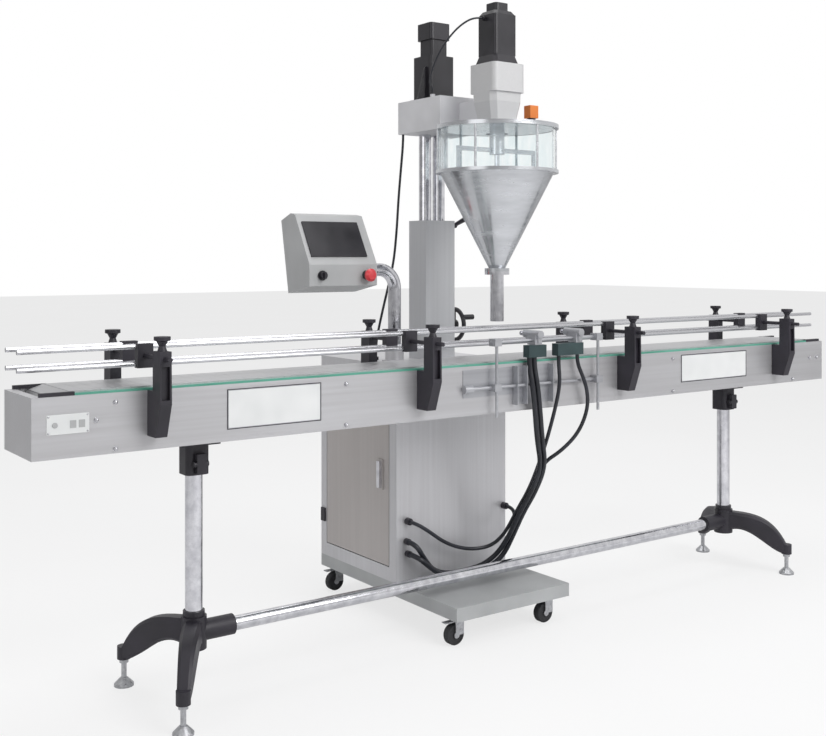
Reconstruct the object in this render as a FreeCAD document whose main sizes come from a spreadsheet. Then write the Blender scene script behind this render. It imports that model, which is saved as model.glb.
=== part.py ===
import FreeCAD, Part
import Sketcher
import math
import os
import re

# Auger powder filler on a wheeled cabinet, with the slat-chain conveyor that it fills over.
# +X runs along the conveyor, +Y to the back, +Z up. The origin is on the floor, under the middle.

SIZES = {
    # conveyor frame
    "line_y": -212,
    "line_length": 3000,
    "line_width": 214,
    "frame_base": 674,
    "frame_height": 145,
    "sheet_wall": 3,
    "flange_depth": 29,
    "end_lip": 20,
    "strip_inset": 100,
    "strip_height": 5.5,
    "shoe_length": 82,
    "shoe_height": 9,
    "crossbar_width": 80,
    "crossbar_height": 8,
    "spacer_radius": 10,
    "rail_strip_width": 12,
    # slat chain and sprockets
    "chain_pitch": 38.1,
    "chain_width": 190.5,
    "slat_height": 4,
    "slat_gap": 0.7,
    "hinge_width": 42,
    "hinge_depth": 9.2,
    "tooth_count": 10,
    "turn_room": 90,
    "tooth_width": 10,
    "tooth_height": 9.5,
    "hub_radius": 30,
    "shaft_radius": 12.5,
    "bearing_radius": 34,
    "bearing_width": 12,
    "running_gap": 0.05,
    "gearbox_side": 90,
    "motor_radius": 41,
    "motor_length": 130,
    # guide rails and their brackets
    "bracket_spacing": 805,
    "bracket_width": 30,
    "rail_reach": 45,
    "rail_radius": 6,
    "rail_length": 3030,
    "rail_upper_rise": 101,
    "rail_lower_rise": 58,
    "rod_rise": 79,
    "rod_length": 150,
    "clamp_width": 40,
    "clamp_depth": 22,
    "clamp_height": 60,
    "knob_radius": 20,
    "knob_height": 35,
    # gate
    "gate_rise": 79,
    "gate_bar_rise": 68,
    "gate_left": -61,
    "gate_width": 146,
    "gate_plate_height": 117,
    "gate_flange": 24,
    "slide_plate_length": 190,
    "slide_plate_height": 82,
    "post_left": -141,
    "post_right": 278,
    "gate_reach": 12,
    "rod_radius": 5,
    "cylinder_radius": 12,
    "cylinder_length": 74,
    "piston_rise": 18,
    "piston_left": 20,
    "piston_right": 190,
    "manifold_height": 37,
    "manifold_depth": 28,
    # stand
    "leg_spacing": 2104,
    "leg_radius": 22.5,
    "tie_radius": 19,
    "tie_level": 172,
    "head_length": 110,
    "head_width": 100,
    "head_side": 64,
    "head_drop": 92,
    "hub_height": 85,
    "hub_base": 130,
    "foot_out": 114,
    "foot_side": 190,
    "arm_end_radius": 18,
    "arm_end_base": 72,
    "pad_radius": 26,
    "pad_height": 22,
    "stem_radius": 7,
    # cabinet
    "cabinet_left": -284,
    "cabinet_width": 445,
    "cabinet_front": -25,
    "cabinet_depth": 453,
    "cabinet_base": 120,
    "cabinet_height": 682,
    "panel_wall": 2,
    "platform_front": -332,
    "platform_height": 40,
    "door_inset": 39,
    "door_width": 379,
    "door_bottom": 43,
    "door_height": 597,
    "door_gap": 3,
    "handle_rise": 330,
    "plate_inset": 90,
    "plate_width": 340,
    "drive_width": 70,
    "drive_height": 170,
    "drive_depth": 110,
    # casters
    "caster_inset": 46,
    "wheel_radius": 31,
    "wheel_width": 24,
    "caster_trail": 22,
    "axle_radius": 4,
    # column and head
    "fill_x": -32,
    "column_width": 120,
    "column_front": 81,
    "column_depth": 95,
    "column_height": 460,
    "handwheel_rise": 109,
    "column_wall": 4,
    "post_radius": 21,
    "post_spacing": 56,
    "head_base": 1555,
    "headbox_width": 214,
    "headbox_front": -59,
    "headbox_depth": 232,
    "headbox_height": 100,
    # hopper
    "lid_radius": 191,
    "lid_drop": 18,
    "lid_wall": 12,
    "barrel_radius": 181.5,
    "barrel_wall": 5,
    "barrel_height": 127,
    "cone_wall": 2,
    "cone_top_radius": 176,
    "cone_drop": 304,
    "cone_throat_radius": 23.5,
    "flange_radius": 38.5,
    "flange_wall": 10,
    "tube_radius": 21,
    "tube_wall": 1.5,
    "tube_drop": 165,
    "inlet_radius": 38,
    "inlet_height": 30,
    "inlet_x": 45,
    "inlet_y": 92,
    # auger and agitator
    "auger_radius": 18.8,
    "auger_core": 8,
    "auger_pitch": 36,
    "auger_turns": 5,
    "sleeve_radius": 23.5,
    "sleeve_drop": 77,
    "blade_gap": 8,
    "scraper_reach": 230,
    "scraper_width": 12,
    # drives on the head
    "casing_side": 126,
    "casing_depth": 110,
    "servo_side": 87,
    "stirrer_y": 119,
    "reducer_side": 100,
    # drives' levels above the head box's base
    "split_rise": 95,
    "casing_rise": 183,
    "skirt_rise": 210,
    "shoulder_rise": 348,
    "servo_rise": 374,
    "reducer_rise": 254,
    "stirrer_shoulder_rise": 310,
    "stirrer_rise": 365,
    # operator panel
    "arm_rise": 298,
    "arm_x": -206,
    "arm_y": 98,
    "arm_radius": 21,
    "arm_bend": 60,
    "box_right": -328,
    "box_width": 244,
    "selector_inset": 200,
    "stop_inset": 40,
    "button_drop": 15,
    "screen_width": 200,
    "screen_height": 124,
    # hoses and cables
    "hose_radius": 8,
    "slim_hose_radius": 6,
    "cable_radius": 4,
    "thin_cable_radius": 3,
    "gland_length": 17,
}

# Levels and counts that follow from the sizes.
FOLLOWING = {
    "strip_length": "line_length - 2 * strip_inset",
    "run_links": "floor((line_length - 2 * turn_room) / chain_pitch)",
    "deck": "frame_base + frame_height",
    "rail_upper": "deck + rail_upper_rise",
    "rail_lower": "deck + rail_lower_rise",
    "rod_level": "deck + rod_rise",
    "gate_level": "frame_base + gate_rise",
    "gate_bar_level": "deck + gate_bar_rise",
    "cabinet_top": "cabinet_base + cabinet_height",
    "column_top": "cabinet_top + column_height",
    "handwheel_level": "cabinet_top + handwheel_rise",
    "arm_level": "cabinet_top + arm_rise",
    "lid_base": "head_base - lid_drop",
    "lid_top": "lid_base + lid_wall",
    "barrel_base": "lid_base - barrel_height",
    "cone_base": "barrel_base - cone_drop",
    "tube_base": "cone_base - tube_drop",
    "sleeve_base": "lid_base - sleeve_drop",
    "casing_split": "head_base + split_rise",
    "casing_top": "head_base + casing_rise",
    "servo_skirt": "head_base + skirt_rise",
    "servo_shoulder": "head_base + shoulder_rise",
    "servo_top": "head_base + servo_rise",
    "reducer_top": "head_base + reducer_rise",
    "stirrer_shoulder": "head_base + stirrer_shoulder_rise",
    "stirrer_top": "head_base + stirrer_rise",
}

doc = FreeCAD.newDocument("AugerFiller")
sheet = doc.addObject("Spreadsheet::Sheet", "Sizes")
for row, (alias, value) in enumerate([*SIZES.items(), *FOLLOWING.items()], start=1):
    sheet.set(f"A{row}", alias)
    sheet.set(f"B{row}", f"={value}")
    sheet.setAlias(f"B{row}", alias)
doc.recompute()

V = FreeCAD.Vector
ALONG_X = FreeCAD.Rotation(V(0, 1, 0), 90)
ALONG_Y = FreeCAD.Rotation(V(1, 0, 0), -90)
UPRIGHT = FreeCAD.Rotation()
nodes = {}


def size(alias):
    """A size read back from the sheet."""
    return float(sheet.get(alias))


def bound(formula):
    """A formula of size names, written as an expression on the sheet."""
    def cell(word):
        name = word.group()
        return "Sizes." + name if name in SIZES or name in FOLLOWING else name
    return re.sub(r"[a-z]+(?:_[a-z]+)*", cell, str(formula))


def bind(item, **formulas):
    for name, formula in formulas.items():
        item.setExpression(name, bound(formula))
    return item


def place(item, x=0, y=0, z=0, turn=UPRIGHT):
    item.Placement = FreeCAD.Placement(V(), turn)
    for axis, formula in (("x", x), ("y", y), ("z", z)):
        item.setExpression("Placement.Base." + axis, bound(formula))
    return item


def box(length, width, height, x, y, z, turn=UPRIGHT):
    """A block from its lowest corner."""
    item = doc.addObject("Part::Box", "Block")
    bind(item, Length=length, Width=width, Height=height)
    return place(item, x, y, z, turn)


def bar(length, width, height, x, y, z):
    """A block centred on x and y that stands on z."""
    return box(length, width, height, f"{x} - ({length}) / 2", f"{y} - ({width}) / 2", z)


def rod(radius, length, x, y, z, turn=UPRIGHT):
    """A round bar from its start point along its turned Z."""
    item = doc.addObject("Part::Cylinder", "Round")
    bind(item, Radius=radius, Height=length)
    return place(item, x, y, z, turn)


def cone(lower, upper, height, x, y, z, turn=UPRIGHT):
    item = doc.addObject("Part::Cone", "Taper")
    bind(item, Radius1=lower, Radius2=upper, Height=height)
    return place(item, x, y, z, turn)


def fuse(*items):
    item = doc.addObject("Part::MultiFuse", "Joined")
    item.Shapes = list(items)
    item.Refine = True
    return item


def group(*items):
    item = doc.addObject("Part::Compound", "Group")
    item.Links = list(items)
    return item


def cut(base, *tools):
    item = doc.addObject("Part::Cut", "Opened")
    item.Base = base
    item.Tool = tools[0] if len(tools) == 1 else fuse(*tools)
    return item


def tube(outer, inner, length, x, y, z, turn=UPRIGHT):
    return cut(rod(outer, length, x, y, z, turn), rod(inner, length, x, y, z, turn))


def mirrored(item):
    """The other hand of a piece, mirrored from end to end of the machine."""
    copy = doc.addObject("Part::Mirroring", "OtherHand")
    copy.Source = item
    copy.Normal = V(1, 0, 0)
    return copy


def node(label, item):
    item.Label = label
    nodes[label] = item
    return item


def new_body(x=0, y=0, z=0, turn=UPRIGHT):
    return place(doc.addObject("PartDesign::Body", "Piece"), x, y, z, turn)


def origin_plane(body, role):
    return next(item for item in body.Origin.OriginFeatures if item.Role == role)


def new_sketch(body, role, offset=0):
    sketch = body.newObject("Sketcher::SketchObject", "Outline")
    sketch.AttachmentSupport = [(origin_plane(body, role), "")]
    sketch.MapMode = "FlatFace"
    if offset:
        sketch.setExpression("AttachmentOffset.Base.z", bound(offset))
    return sketch


def pin_point(sketch, shape, end, x, y):
    """Hold one point of a sketch at two formulas."""
    for kind, formula in (("DistanceX", x), ("DistanceY", y)):
        held = sketch.addConstraint(Sketcher.Constraint(kind, -1, 1, shape, end, 1.0))
        sketch.setExpression(f"Constraints[{held}]", bound(formula))


def polygon(sketch, corners):
    """A closed outline of straight lines through the corners, each held by its formulas."""
    first = sketch.GeometryCount
    count = len(corners)
    start = [V(50 * math.cos(2 * math.pi * step / count), 50 * math.sin(2 * math.pi * step / count), 0)
             for step in range(count)]
    for step in range(count):
        sketch.addGeometry(Part.LineSegment(start[step], start[(step + 1) % count]))
    for step in range(count):
        following = first + (step + 1) % count
        sketch.addConstraint(Sketcher.Constraint("Coincident", first + step, 2, following, 1))
    for step, (x, y) in enumerate(corners):
        pin_point(sketch, first + step, 1, x, y)
    return sketch


def circle(sketch, x, y, radius):
    index = sketch.addGeometry(Part.Circle(V(1, 1, 0), V(0, 0, 1), 10))
    pin_point(sketch, index, 3, x, y)
    held = sketch.addConstraint(Sketcher.Constraint("Radius", index, 10))
    sketch.setExpression(f"Constraints[{held}]", bound(radius))
    return sketch


def pad(body, sketch, length, midplane=True, reverse=False):
    feature = body.newObject("PartDesign::Pad", "Pad")
    feature.Profile = sketch
    feature.Midplane = midplane
    feature.Reversed = reverse
    return bind(feature, Length=length)


def revolve(body, corners):
    """A turned piece from its half profile of (radius, height) corners."""
    sketch = polygon(new_sketch(body, "XZ_Plane"), corners)
    feature = body.newObject("PartDesign::Revolution", "Turned")
    feature.Profile = sketch
    feature.ReferenceAxis = (sketch, ["V_Axis"])
    feature.Angle = 360
    return feature


def turned(corners, x, y, z, turn=UPRIGHT):
    body = new_body(x, y, z, turn)
    revolve(body, corners)
    return body


def extruded(corners, role, length, x, y, z, turn=UPRIGHT):
    """A piece of one cross section, centred on the plane of its outline."""
    body = new_body(x, y, z, turn)
    pad(body, polygon(new_sketch(body, role), corners), length)
    return body


def rounded_block(length, width, height, corner, x, y, z):
    """A block with rounded upright corners, centred on x and y, standing on z."""
    body = new_body(f"{x} - ({length}) / 2", f"{y} - ({width}) / 2", z)
    block = body.newObject("PartDesign::AdditiveBox", "Block")
    bind(block, Length=length, Width=width, Height=height)
    block.recompute()
    feature = body.newObject("PartDesign::Fillet", "Rounding")
    feature.Base = (block, ["Edge1", "Edge3", "Edge5", "Edge7"])
    bind(feature, Radius=corner)
    return body


# ---- conveyor frame ----

plate_half = "line_width / 2"
slat_bed = "(deck + strip_height)"
sprocket_radius = "(chain_pitch / 2 / sin(180deg / tooth_count))"
sprocket_level = f"({slat_bed} - {sprocket_radius})"
sprocket_x = "(run_links * chain_pitch / 2)"
inner_width = "(line_width - 2 * sheet_wall)"
rear_side = 1
front_side = -1


def side_plate(side):
    """A folded channel, its upper flange cut away where the slats turn down."""
    web = f"{side} * {plate_half}"
    inside = f"{side} * ({plate_half} - sheet_wall)"
    lip = f"{side} * ({plate_half} - flange_depth)"
    corners = [
        (web, 0),
        (web, "frame_height"),
        (lip, "frame_height"),
        (lip, "frame_height - sheet_wall"),
        (inside, "frame_height - sheet_wall"),
        (inside, "sheet_wall"),
        (lip, "sheet_wall"),
        (lip, 0),
    ]
    channel = extruded(corners, "YZ_Plane", "line_length - 2 * sheet_wall", 0, "line_y", "frame_base")
    notches = [bar("shoe_length + end_lip", "flange_depth - sheet_wall", "sheet_wall",
                   f"{end} * (strip_length + shoe_length + end_lip) / 2",
                   f"line_y + {side} * ({plate_half} - sheet_wall - (flange_depth - sheet_wall) / 2)",
                   f"deck - sheet_wall") for end in (-1, 1)]
    return cut(channel, *notches)


def end_plate(side):
    """The sheet that closes one end, with a lip turned in over the turning slats."""
    face = box("sheet_wall", "line_width", "frame_height",
               f"{side} * (line_length - sheet_wall) / 2 - sheet_wall / 2", f"line_y - {plate_half}", "frame_base")
    lip = box("end_lip", inner_width, "sheet_wall",
              f"{side} * (line_length / 2 - sheet_wall - end_lip / 2) - end_lip / 2",
              f"line_y - {inner_width} / 2", f"deck - sheet_wall")
    return fuse(face, lip)


# The rear plate lets the drive shaft out to its gearbox.
shaft_hole = rod("shaft_radius + 2", "3 * sheet_wall", sprocket_x, f"line_y + {plate_half} - 2 * sheet_wall",
                 sprocket_level, ALONG_Y)
rear_plate = cut(side_plate(rear_side), shaft_hole)
node("conveyor_shell", group(side_plate(front_side), rear_plate, end_plate(-1), end_plate(1)))


def crossbar(x):
    """A flat bar that rests on the lower flanges."""
    return bar("crossbar_width", inner_width, "crossbar_height", x, "line_y", "frame_base + sheet_wall")


def spacer(x):
    return rod("spacer_radius", inner_width, x, f"line_y - {inner_width} / 2", sprocket_level, ALONG_Y)


leg_x = "leg_spacing / 2"
spacer_places = ["-leg_spacing / 2", "-leg_spacing / 6", "leg_spacing / 6", "leg_spacing / 2"]


def wear_strip(side):
    """The strip that carries the slats on the upper flange."""
    return bar("strip_length", "flange_depth", "strip_height",
               0, f"line_y + {side} * ({plate_half} - flange_depth / 2)", "deck")


crossbar_top = "(frame_base + sheet_wall + crossbar_height)"
return_level = f"({sprocket_level} - {sprocket_radius} - slat_height)"


def return_strip(side):
    """The strip that carries the slats on their way back."""
    return bar("leg_spacing + crossbar_width", "rail_strip_width", f"{return_level} - {crossbar_top}",
               0, f"line_y + {side} * (chain_width / 3)", crossbar_top)


node("wear_strips", group(*[make(side) for make in (wear_strip, return_strip) for side in (-1, 1)]))


def end_shoe(end, side):
    """The moulded guide beside the slats where they turn down."""
    width = f"({plate_half} - chain_width / 2 - 1)"
    return bar("shoe_length", width, "shoe_height",
               f"{end} * (strip_length + shoe_length) / 2", f"line_y + {side} * ({plate_half} - {width} / 2)", "deck")


node("end_shoes", group(*[end_shoe(end, side) for end in (-1, 1) for side in (-1, 1)]))

# ---- slat chain ----


def slat_link():
    """One slat with its hinge eye below; the pin line is level with the slat's underside."""
    half_gap = "slat_gap / 2"
    last = f"chain_pitch - {half_gap}"
    slat = extruded([(half_gap, 0), (last, 0), (last, "slat_height"), (half_gap, "slat_height")],
                    "XZ_Plane", "chain_width", 0, 0, 0)
    draft = f"({half_gap} + hinge_depth * tan(180deg / tooth_count))"
    eye = extruded([(half_gap, 0), (draft, "-hinge_depth"), (f"chain_pitch - {draft}", "-hinge_depth"), (last, 0)],
                   "XZ_Plane", "hinge_width", 0, 0, 0)
    return fuse(slat, eye)


def link_places():
    """Place and turn of each link round the loop, from the upper run's left end."""
    pitch = size("chain_pitch")
    teeth = int(size("tooth_count"))
    links = int(size("run_links"))
    radius = pitch / 2 / math.sin(math.pi / teeth)
    level = size("deck") + size("strip_height") - radius
    half_run = links * pitch / 2
    places = []
    for step in range(links):
        places.append((-half_run + step * pitch, level + radius, 0.0))
        places.append((half_run - step * pitch, level - radius, 180.0))
    for end in (1, -1):
        for step in range(teeth // 2):
            start = math.pi / 2 * end - step * 2 * math.pi / teeth
            turn = math.degrees(math.pi / 2 - start) + 180.0 / teeth
            places.append((end * half_run + radius * math.cos(start), level + radius * math.sin(start), turn))
    return places


def slat_chain():
    link = slat_link()
    link.recompute(True)
    links = []
    for x, z, turn in link_places():
        shape = link.Shape.copy()
        shape.Placement = FreeCAD.Placement(V(x, size("line_y"), z), FreeCAD.Rotation(V(0, 1, 0), turn))
        links.append(shape)
    chain = doc.addObject("Part::Feature", "Chain")
    chain.Shape = Part.makeCompound(links)
    return chain


node("slat_chain", slat_chain())


def tooth_ring(y):
    """A sprocket wheel: teeth between the hinge eyes' places, on a plain disc."""
    root = f"({sprocket_radius} * cos(180deg / tooth_count) - hinge_depth - 1)"
    tip = f"({root} + tooth_height)"
    body = new_body(0, y, 0)
    pitch_turn = "(360deg / tooth_count)"
    corners = [
        (f"{root} * sin({pitch_turn} * 0.32)", f"{root} * cos({pitch_turn} * 0.32)"),
        (f"{tip} * sin({pitch_turn} * 0.14)", f"{tip} * cos({pitch_turn} * 0.14)"),
        (f"-{tip} * sin({pitch_turn} * 0.14)", f"{tip} * cos({pitch_turn} * 0.14)"),
        (f"-{root} * sin({pitch_turn} * 0.32)", f"{root} * cos({pitch_turn} * 0.32)"),
        (0, "shaft_radius"),
    ]
    pad(body, circle(new_sketch(body, "XZ_Plane"), 0, 0, root), "tooth_width")
    tooth = pad(body, polygon(new_sketch(body, "XZ_Plane"), corners), "tooth_width")
    teeth = body.newObject("PartDesign::PolarPattern", "Teeth")
    teeth.Originals = [tooth]
    teeth.Axis = (origin_plane(body, "Y_Axis"), [""])
    teeth.Angle = 360
    bind(teeth, Occurrences="tooth_count")
    body.Tip = teeth
    return body


ring_y = "(hinge_width / 2 + 2 + tooth_width / 2)"


def sprocket(x, reach_back):
    """Two toothed wheels on a hub and their shaft, which turns in bearings inside the side plates."""
    rings = [tooth_ring(f"{side} * {ring_y}") for side in (-1, 1)]
    hub = rod("hub_radius", f"2 * {ring_y}", 0, f"-{ring_y}", 0, ALONG_Y)
    shaft = rod("shaft_radius", f"{inner_width} - 2 + {reach_back}", 0, f"1 - {inner_width} / 2", 0, ALONG_Y)
    return place(fuse(*rings, hub, shaft), x, "line_y", sprocket_level)


gearbox_reach = "(sheet_wall + gearbox_side * 0.9)"
node("drive_sprocket", sprocket(sprocket_x, gearbox_reach))
node("idler_sprocket", sprocket(f"-{sprocket_x}", 0))


def bearing(x, side):
    """A round bearing block against the inside of a side plate."""
    middle = f"line_y + {side} * ({inner_width} - bearing_width) / 2"
    return tube("bearing_radius", "shaft_radius + running_gap", "bearing_width",
                x, f"{middle} - bearing_width / 2", sprocket_level, ALONG_Y)


bearings = [bearing(x, side) for x in (sprocket_x, f"-{sprocket_x}") for side in (-1, 1)]
members = [make(x) for make in (crossbar, spacer) for x in spacer_places]
node("frame_members", group(*members, *bearings))

rear_face = f"(line_y + {plate_half})"


def drive_gearmotor():
    """A right-angle gearbox on the drive shaft, with its motor lying along the frame."""
    middle_y = f"{rear_face} + gearbox_side / 2"
    gearbox = bar("gearbox_side", "gearbox_side", "gearbox_side", sprocket_x, middle_y,
                  f"{sprocket_level} - gearbox_side / 2")
    bore = rod("shaft_radius + running_gap", "gearbox_side", sprocket_x, rear_face, sprocket_level, ALONG_Y)
    motor_start = f"{sprocket_x} - gearbox_side / 2"
    motor = rod("motor_radius", "motor_length", f"{motor_start} - motor_length", middle_y, sprocket_level, ALONG_X)
    terminals = bar("motor_length / 3", "motor_radius * 1.2", "motor_radius + 3",
                    f"{motor_start} - motor_length / 2", middle_y, f"{sprocket_level} - motor_radius - 6")
    return cut(fuse(gearbox, motor, terminals), bore)


node("drive_gearmotor", drive_gearmotor())

# ---- guide rails ----

bracket_places = [f"{step} * bracket_spacing / 2" for step in (-3, -1, 1, 3)]
bracket_top = "(rod_level + 18)"


def guide_bracket(x, side):
    """A cranked moulding bolted to the side plate, with a clamped hole for the rail's rod."""
    wall = plate_half
    corners = [
        (f"{side} * {wall}", "frame_base + 35"),
        (f"{side} * ({wall} + 50)", "frame_base + 35"),
        (f"{side} * ({wall} + 78)", "frame_base + 116"),
        (f"{side} * ({wall} + 76)", bracket_top),
        (f"{side} * ({wall} + 33)", bracket_top),
        (f"{side} * ({wall} + 33)", f"deck"),
        (f"{side} * {wall}", f"deck"),
    ]
    body = extruded(corners, "YZ_Plane", "bracket_width", x, "line_y", 0)
    hole = rod("rail_radius + running_gap", 90, x, f"line_y + {side} * ({wall} + 55) - 45", "rod_level", ALONG_Y)
    relief = bar("bracket_width - 10", 30, "frame_height - 65", x, f"line_y + {side} * ({wall} + 82)",
                 "frame_base + 126")
    return cut(body, hole, relief)


both_sides = [(x, side) for side in (-1, 1) for x in bracket_places]


def bracket_knob(x, side):
    """A clamp screw with a flat grip over a waisted neck."""
    profile = [(0, 0), ("knob_radius * 0.6", 0), ("knob_radius * 0.4", "knob_height * 0.35"),
               ("knob_radius * 0.7", "knob_height * 0.68"), ("knob_radius", "knob_height * 0.74"),
               ("knob_radius", "knob_height"), (0, "knob_height")]
    return turned(profile, x, f"line_y + {side} * ({plate_half} + 55)", bracket_top)


node("guide_brackets", group(*[make(x, side) for make in (guide_bracket, bracket_knob) for x, side in both_sides]))


def rails(side):
    """The two round rails of one side."""
    y = f"line_y + {side} * rail_reach"
    return group(*[rod("rail_radius", "rail_length", "-rail_length / 2", y, level, ALONG_X)
                   for level in ("rail_upper", "rail_lower")])


def rail_clamps(side):
    """Blocks that hold both rails, each on a rod that slides in its bracket."""
    y = f"line_y + {side} * (rail_reach + 5)"
    pieces = []
    start = f"line_y + {side} * (rail_reach + 5 + clamp_depth / 2 + rod_length / 2) - rod_length / 2"
    for x in bracket_places:
        block = bar("clamp_width", "clamp_depth", "clamp_height", x, y, "rod_level - clamp_height / 2")
        holes = [rod("rail_radius + running_gap", "clamp_width + 2", f"{x} - clamp_width / 2 - 1",
                     f"line_y + {side} * rail_reach", level, ALONG_X) for level in ("rail_upper", "rail_lower")]
        support = rod("rail_radius", "rod_length", x, start, "rod_level", ALONG_Y)
        pieces.append(fuse(cut(block, *holes), support))
    return group(*pieces)


for name, side in (("front", -1), ("rear", 1)):
    node(f"{name}_rails", rails(side))
    node(f"{name}_rail_clamps", rail_clamps(side))

# ---- stand ----


def leg_head(side):
    """A clamp head under the frame: a plate, a rounded socket and its pinch screw."""
    x = f"{side} * {leg_x}"
    plate = rounded_block("head_length", "head_width", 14, 8, x, "line_y", "frame_base - 14")
    boss = bar("crossbar_width / 2", "head_width / 2", "sheet_wall", x, "line_y", "frame_base")
    socket = rounded_block("head_side", "head_side", "head_drop - 14", 16, x, "line_y", "frame_base - head_drop")
    lug = bar(26, 20, 50, x, "line_y - head_side / 2 - 8", "frame_base - head_drop + 6")
    screw = rod(8, 40, f"{x} - 20", "line_y - head_side / 2 - 10", "frame_base - head_drop + 30", ALONG_X)
    bore = rod("leg_radius + running_gap", "head_drop - 20", x, "line_y", "frame_base - head_drop")
    return cut(fuse(plate, boss, socket, lug, screw), bore)


leg_foot = "(hub_base + 8)"
leg_length = f"(frame_base - 20 - {leg_foot})"
leg_tubes = [tube("leg_radius", "leg_radius - 1.5", leg_length, f"{side} * {leg_x}", "line_y", leg_foot)
             for side in (-1, 1)]
tie_half = f"({leg_x} - 60)"
tie_tube = tube("tie_radius", "tie_radius - 1.5", f"2 * {tie_half}", f"-{tie_half}", "line_y", "tie_level", ALONG_X)
node("stand_tubes", group(*leg_tubes, tie_tube))

hub_radius = "(leg_radius + 10.5)"
arm_reach = "(sqrt(foot_out * foot_out + foot_side * foot_side))"


def rounded_section(sketch, half_width, low, high, corner):
    """A section of an arm: straight sides, and corners cut off by one small step each."""
    corners = [
        (f"-{half_width}", f"{low} + {corner}"), (f"-{half_width} + {corner}", low),
        (f"{half_width} - {corner}", low), (half_width, f"{low} + {corner}"),
        (half_width, f"{high} - {corner}"), (f"{half_width} - {corner}", high),
        (f"-{half_width} + {corner}", high), (f"-{half_width}", f"{high} - {corner}"),
    ]
    return polygon(sketch, corners)


def stand_arm(x, angle):
    """An arched arm, lofted through sections from the hub out to its foot boss."""
    body = new_body(x, "line_y", 0, FreeCAD.Rotation(V(0, 0, 1), angle))
    stations = [
        ("10", 24, "hub_base + 4", "hub_base + hub_height - 6", 8),
        (f"{arm_reach} * 0.35", 24, "hub_base + 14", "hub_base + hub_height - 10", 9),
        (f"{arm_reach} * 0.72", 20, "arm_end_base + 26", "hub_base + hub_height - 36", 8),
        (f"{arm_reach}", 16, "arm_end_base + 2", "arm_end_base + 32", 6),
    ]
    loft = body.newObject("PartDesign::AdditiveLoft", "Arch")
    sections = [rounded_section(new_sketch(body, "YZ_Plane", offset), half, low, high, corner)
                for offset, half, low, high, corner in stations]
    loft.Profile = sections[0]
    loft.Sections = sections[1:]
    return body


def bipod():
    """A cast stand at the right end: hub for the leg, socket for the tie tube and two arms."""
    angle = math.degrees(math.atan2(size("foot_side"), size("foot_out")))
    hub = rod(hub_radius, "hub_height", leg_x, "line_y", "hub_base")
    collar = rod(f"{hub_radius} - 5", 14, leg_x, "line_y", "hub_base + hub_height")
    socket = rod("tie_radius + 8", 110, f"{leg_x} - 110", "line_y", "tie_level", ALONG_X)
    pieces = [hub, collar, socket]
    stems = []
    for hand in (-1, 1):
        foot = (f"{leg_x} + foot_out", f"line_y + {hand} * foot_side", "arm_end_base")
        pieces.append(stand_arm(leg_x, hand * angle))
        pieces.append(rod("arm_end_radius", 34, *foot))
        stems.append(rod("stem_radius + running_gap", 28, *foot))
    leg_bore = rod("leg_radius + running_gap", "hub_height + 20", leg_x, "line_y", leg_foot)
    tie_bore = rod("tie_radius + running_gap", 60, f"{leg_x} - 120", "line_y", "tie_level", ALONG_X)
    return cut(fuse(*pieces), leg_bore, tie_bore, *stems)


right_bipod = bipod()
node("stand_castings", group(right_bipod, mirrored(right_bipod), leg_head(-1), leg_head(1)))


def levelling_foot(side, hand):
    """A bell-shaped pad on a threaded stem with its lock nut."""
    base = "pad_radius"
    profile = [(0, 0), (base, 0), (base, 6), (f"{base} * 0.55", "pad_height - 4"), ("stem_radius + 3", "pad_height"),
               ("stem_radius", "pad_height"), ("stem_radius", "arm_end_base - 10"), (12, "arm_end_base - 10"),
               (12, "arm_end_base"), ("stem_radius", "arm_end_base"), ("stem_radius", "arm_end_base + 26"),
               (0, "arm_end_base + 26")]
    return turned(profile, f"{side} * ({leg_x} + foot_out)", f"line_y + {hand} * foot_side", 0)


node("levelling_feet", group(*[levelling_foot(side, hand) for side in (-1, 1) for hand in (-1, 1)]))

# ---- gate that stops and releases the containers ----

front_face = f"(line_y - {plate_half})"
rod_y = f"({front_face} - gate_reach)"
upright_y = f"({rod_y} - 2 * rod_radius)"
gate_plate_base = "(frame_base + 21)"


def gate_bracket():
    """A folded bracket on the side plate, with flanges that hold the cross rods, and the slide plate."""
    base = bar("gate_width", 2, "gate_plate_height", "gate_left + gate_width / 2", f"{front_face} - 1", gate_plate_base)
    flanges = [bar(2, "gate_flange", "gate_plate_height", x, f"{front_face} - 1 - gate_flange / 2", gate_plate_base)
               for x in ("gate_left + 1", "gate_left + 39", "gate_left + gate_width - 1")]
    hole = rod("rod_radius + running_gap", "gate_width + 4", "gate_left - 2", rod_y, "gate_level", ALONG_X)
    slide_plate = bar("slide_plate_length", 2, "slide_plate_height", "gate_left - slide_plate_length / 2 - 1",
                      f"{front_face} - 1", f"{gate_plate_base} + 32")
    return fuse(cut(fuse(base, *flanges), hole), slide_plate)


def cross_clamp(x, level):
    """A block that grips a level rod and an upright rod."""
    return bar(26, 30, 22, x, f"{rod_y} - 4", f"{level} - 11")


def gate_rods():
    """The level and upright rods that carry the gate's cylinders, joined by cross clamps."""
    level = rod("rod_radius", "post_right - post_left + 119", "post_left - 109", rod_y, "gate_level", ALONG_X)
    top = rod("rod_radius", "post_right - post_left + 36", "post_left - 18", rod_y, "gate_bar_level", ALONG_X)
    uprights = [rod("rod_radius * 0.9", 232, "post_left", upright_y, "gate_bar_level - 222"),
                rod("rod_radius * 0.9", 222, "post_right", upright_y, "gate_bar_level - 232")]
    clamps = [cross_clamp(x, level_name) for x in ("post_left", "post_right")
              for level_name in ("gate_level", "gate_bar_level")]
    nut = rod("rod_radius + 6", 30, "post_left - 115", rod_y, "gate_level", ALONG_X)
    return fuse(level, top, *uprights, *clamps, nut)


node("gate_frame", group(gate_bracket(), gate_rods()))

piston_level = "(gate_bar_level + piston_rise)"
cylinder_start = "(line_y - 72 - cylinder_length)"


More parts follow.
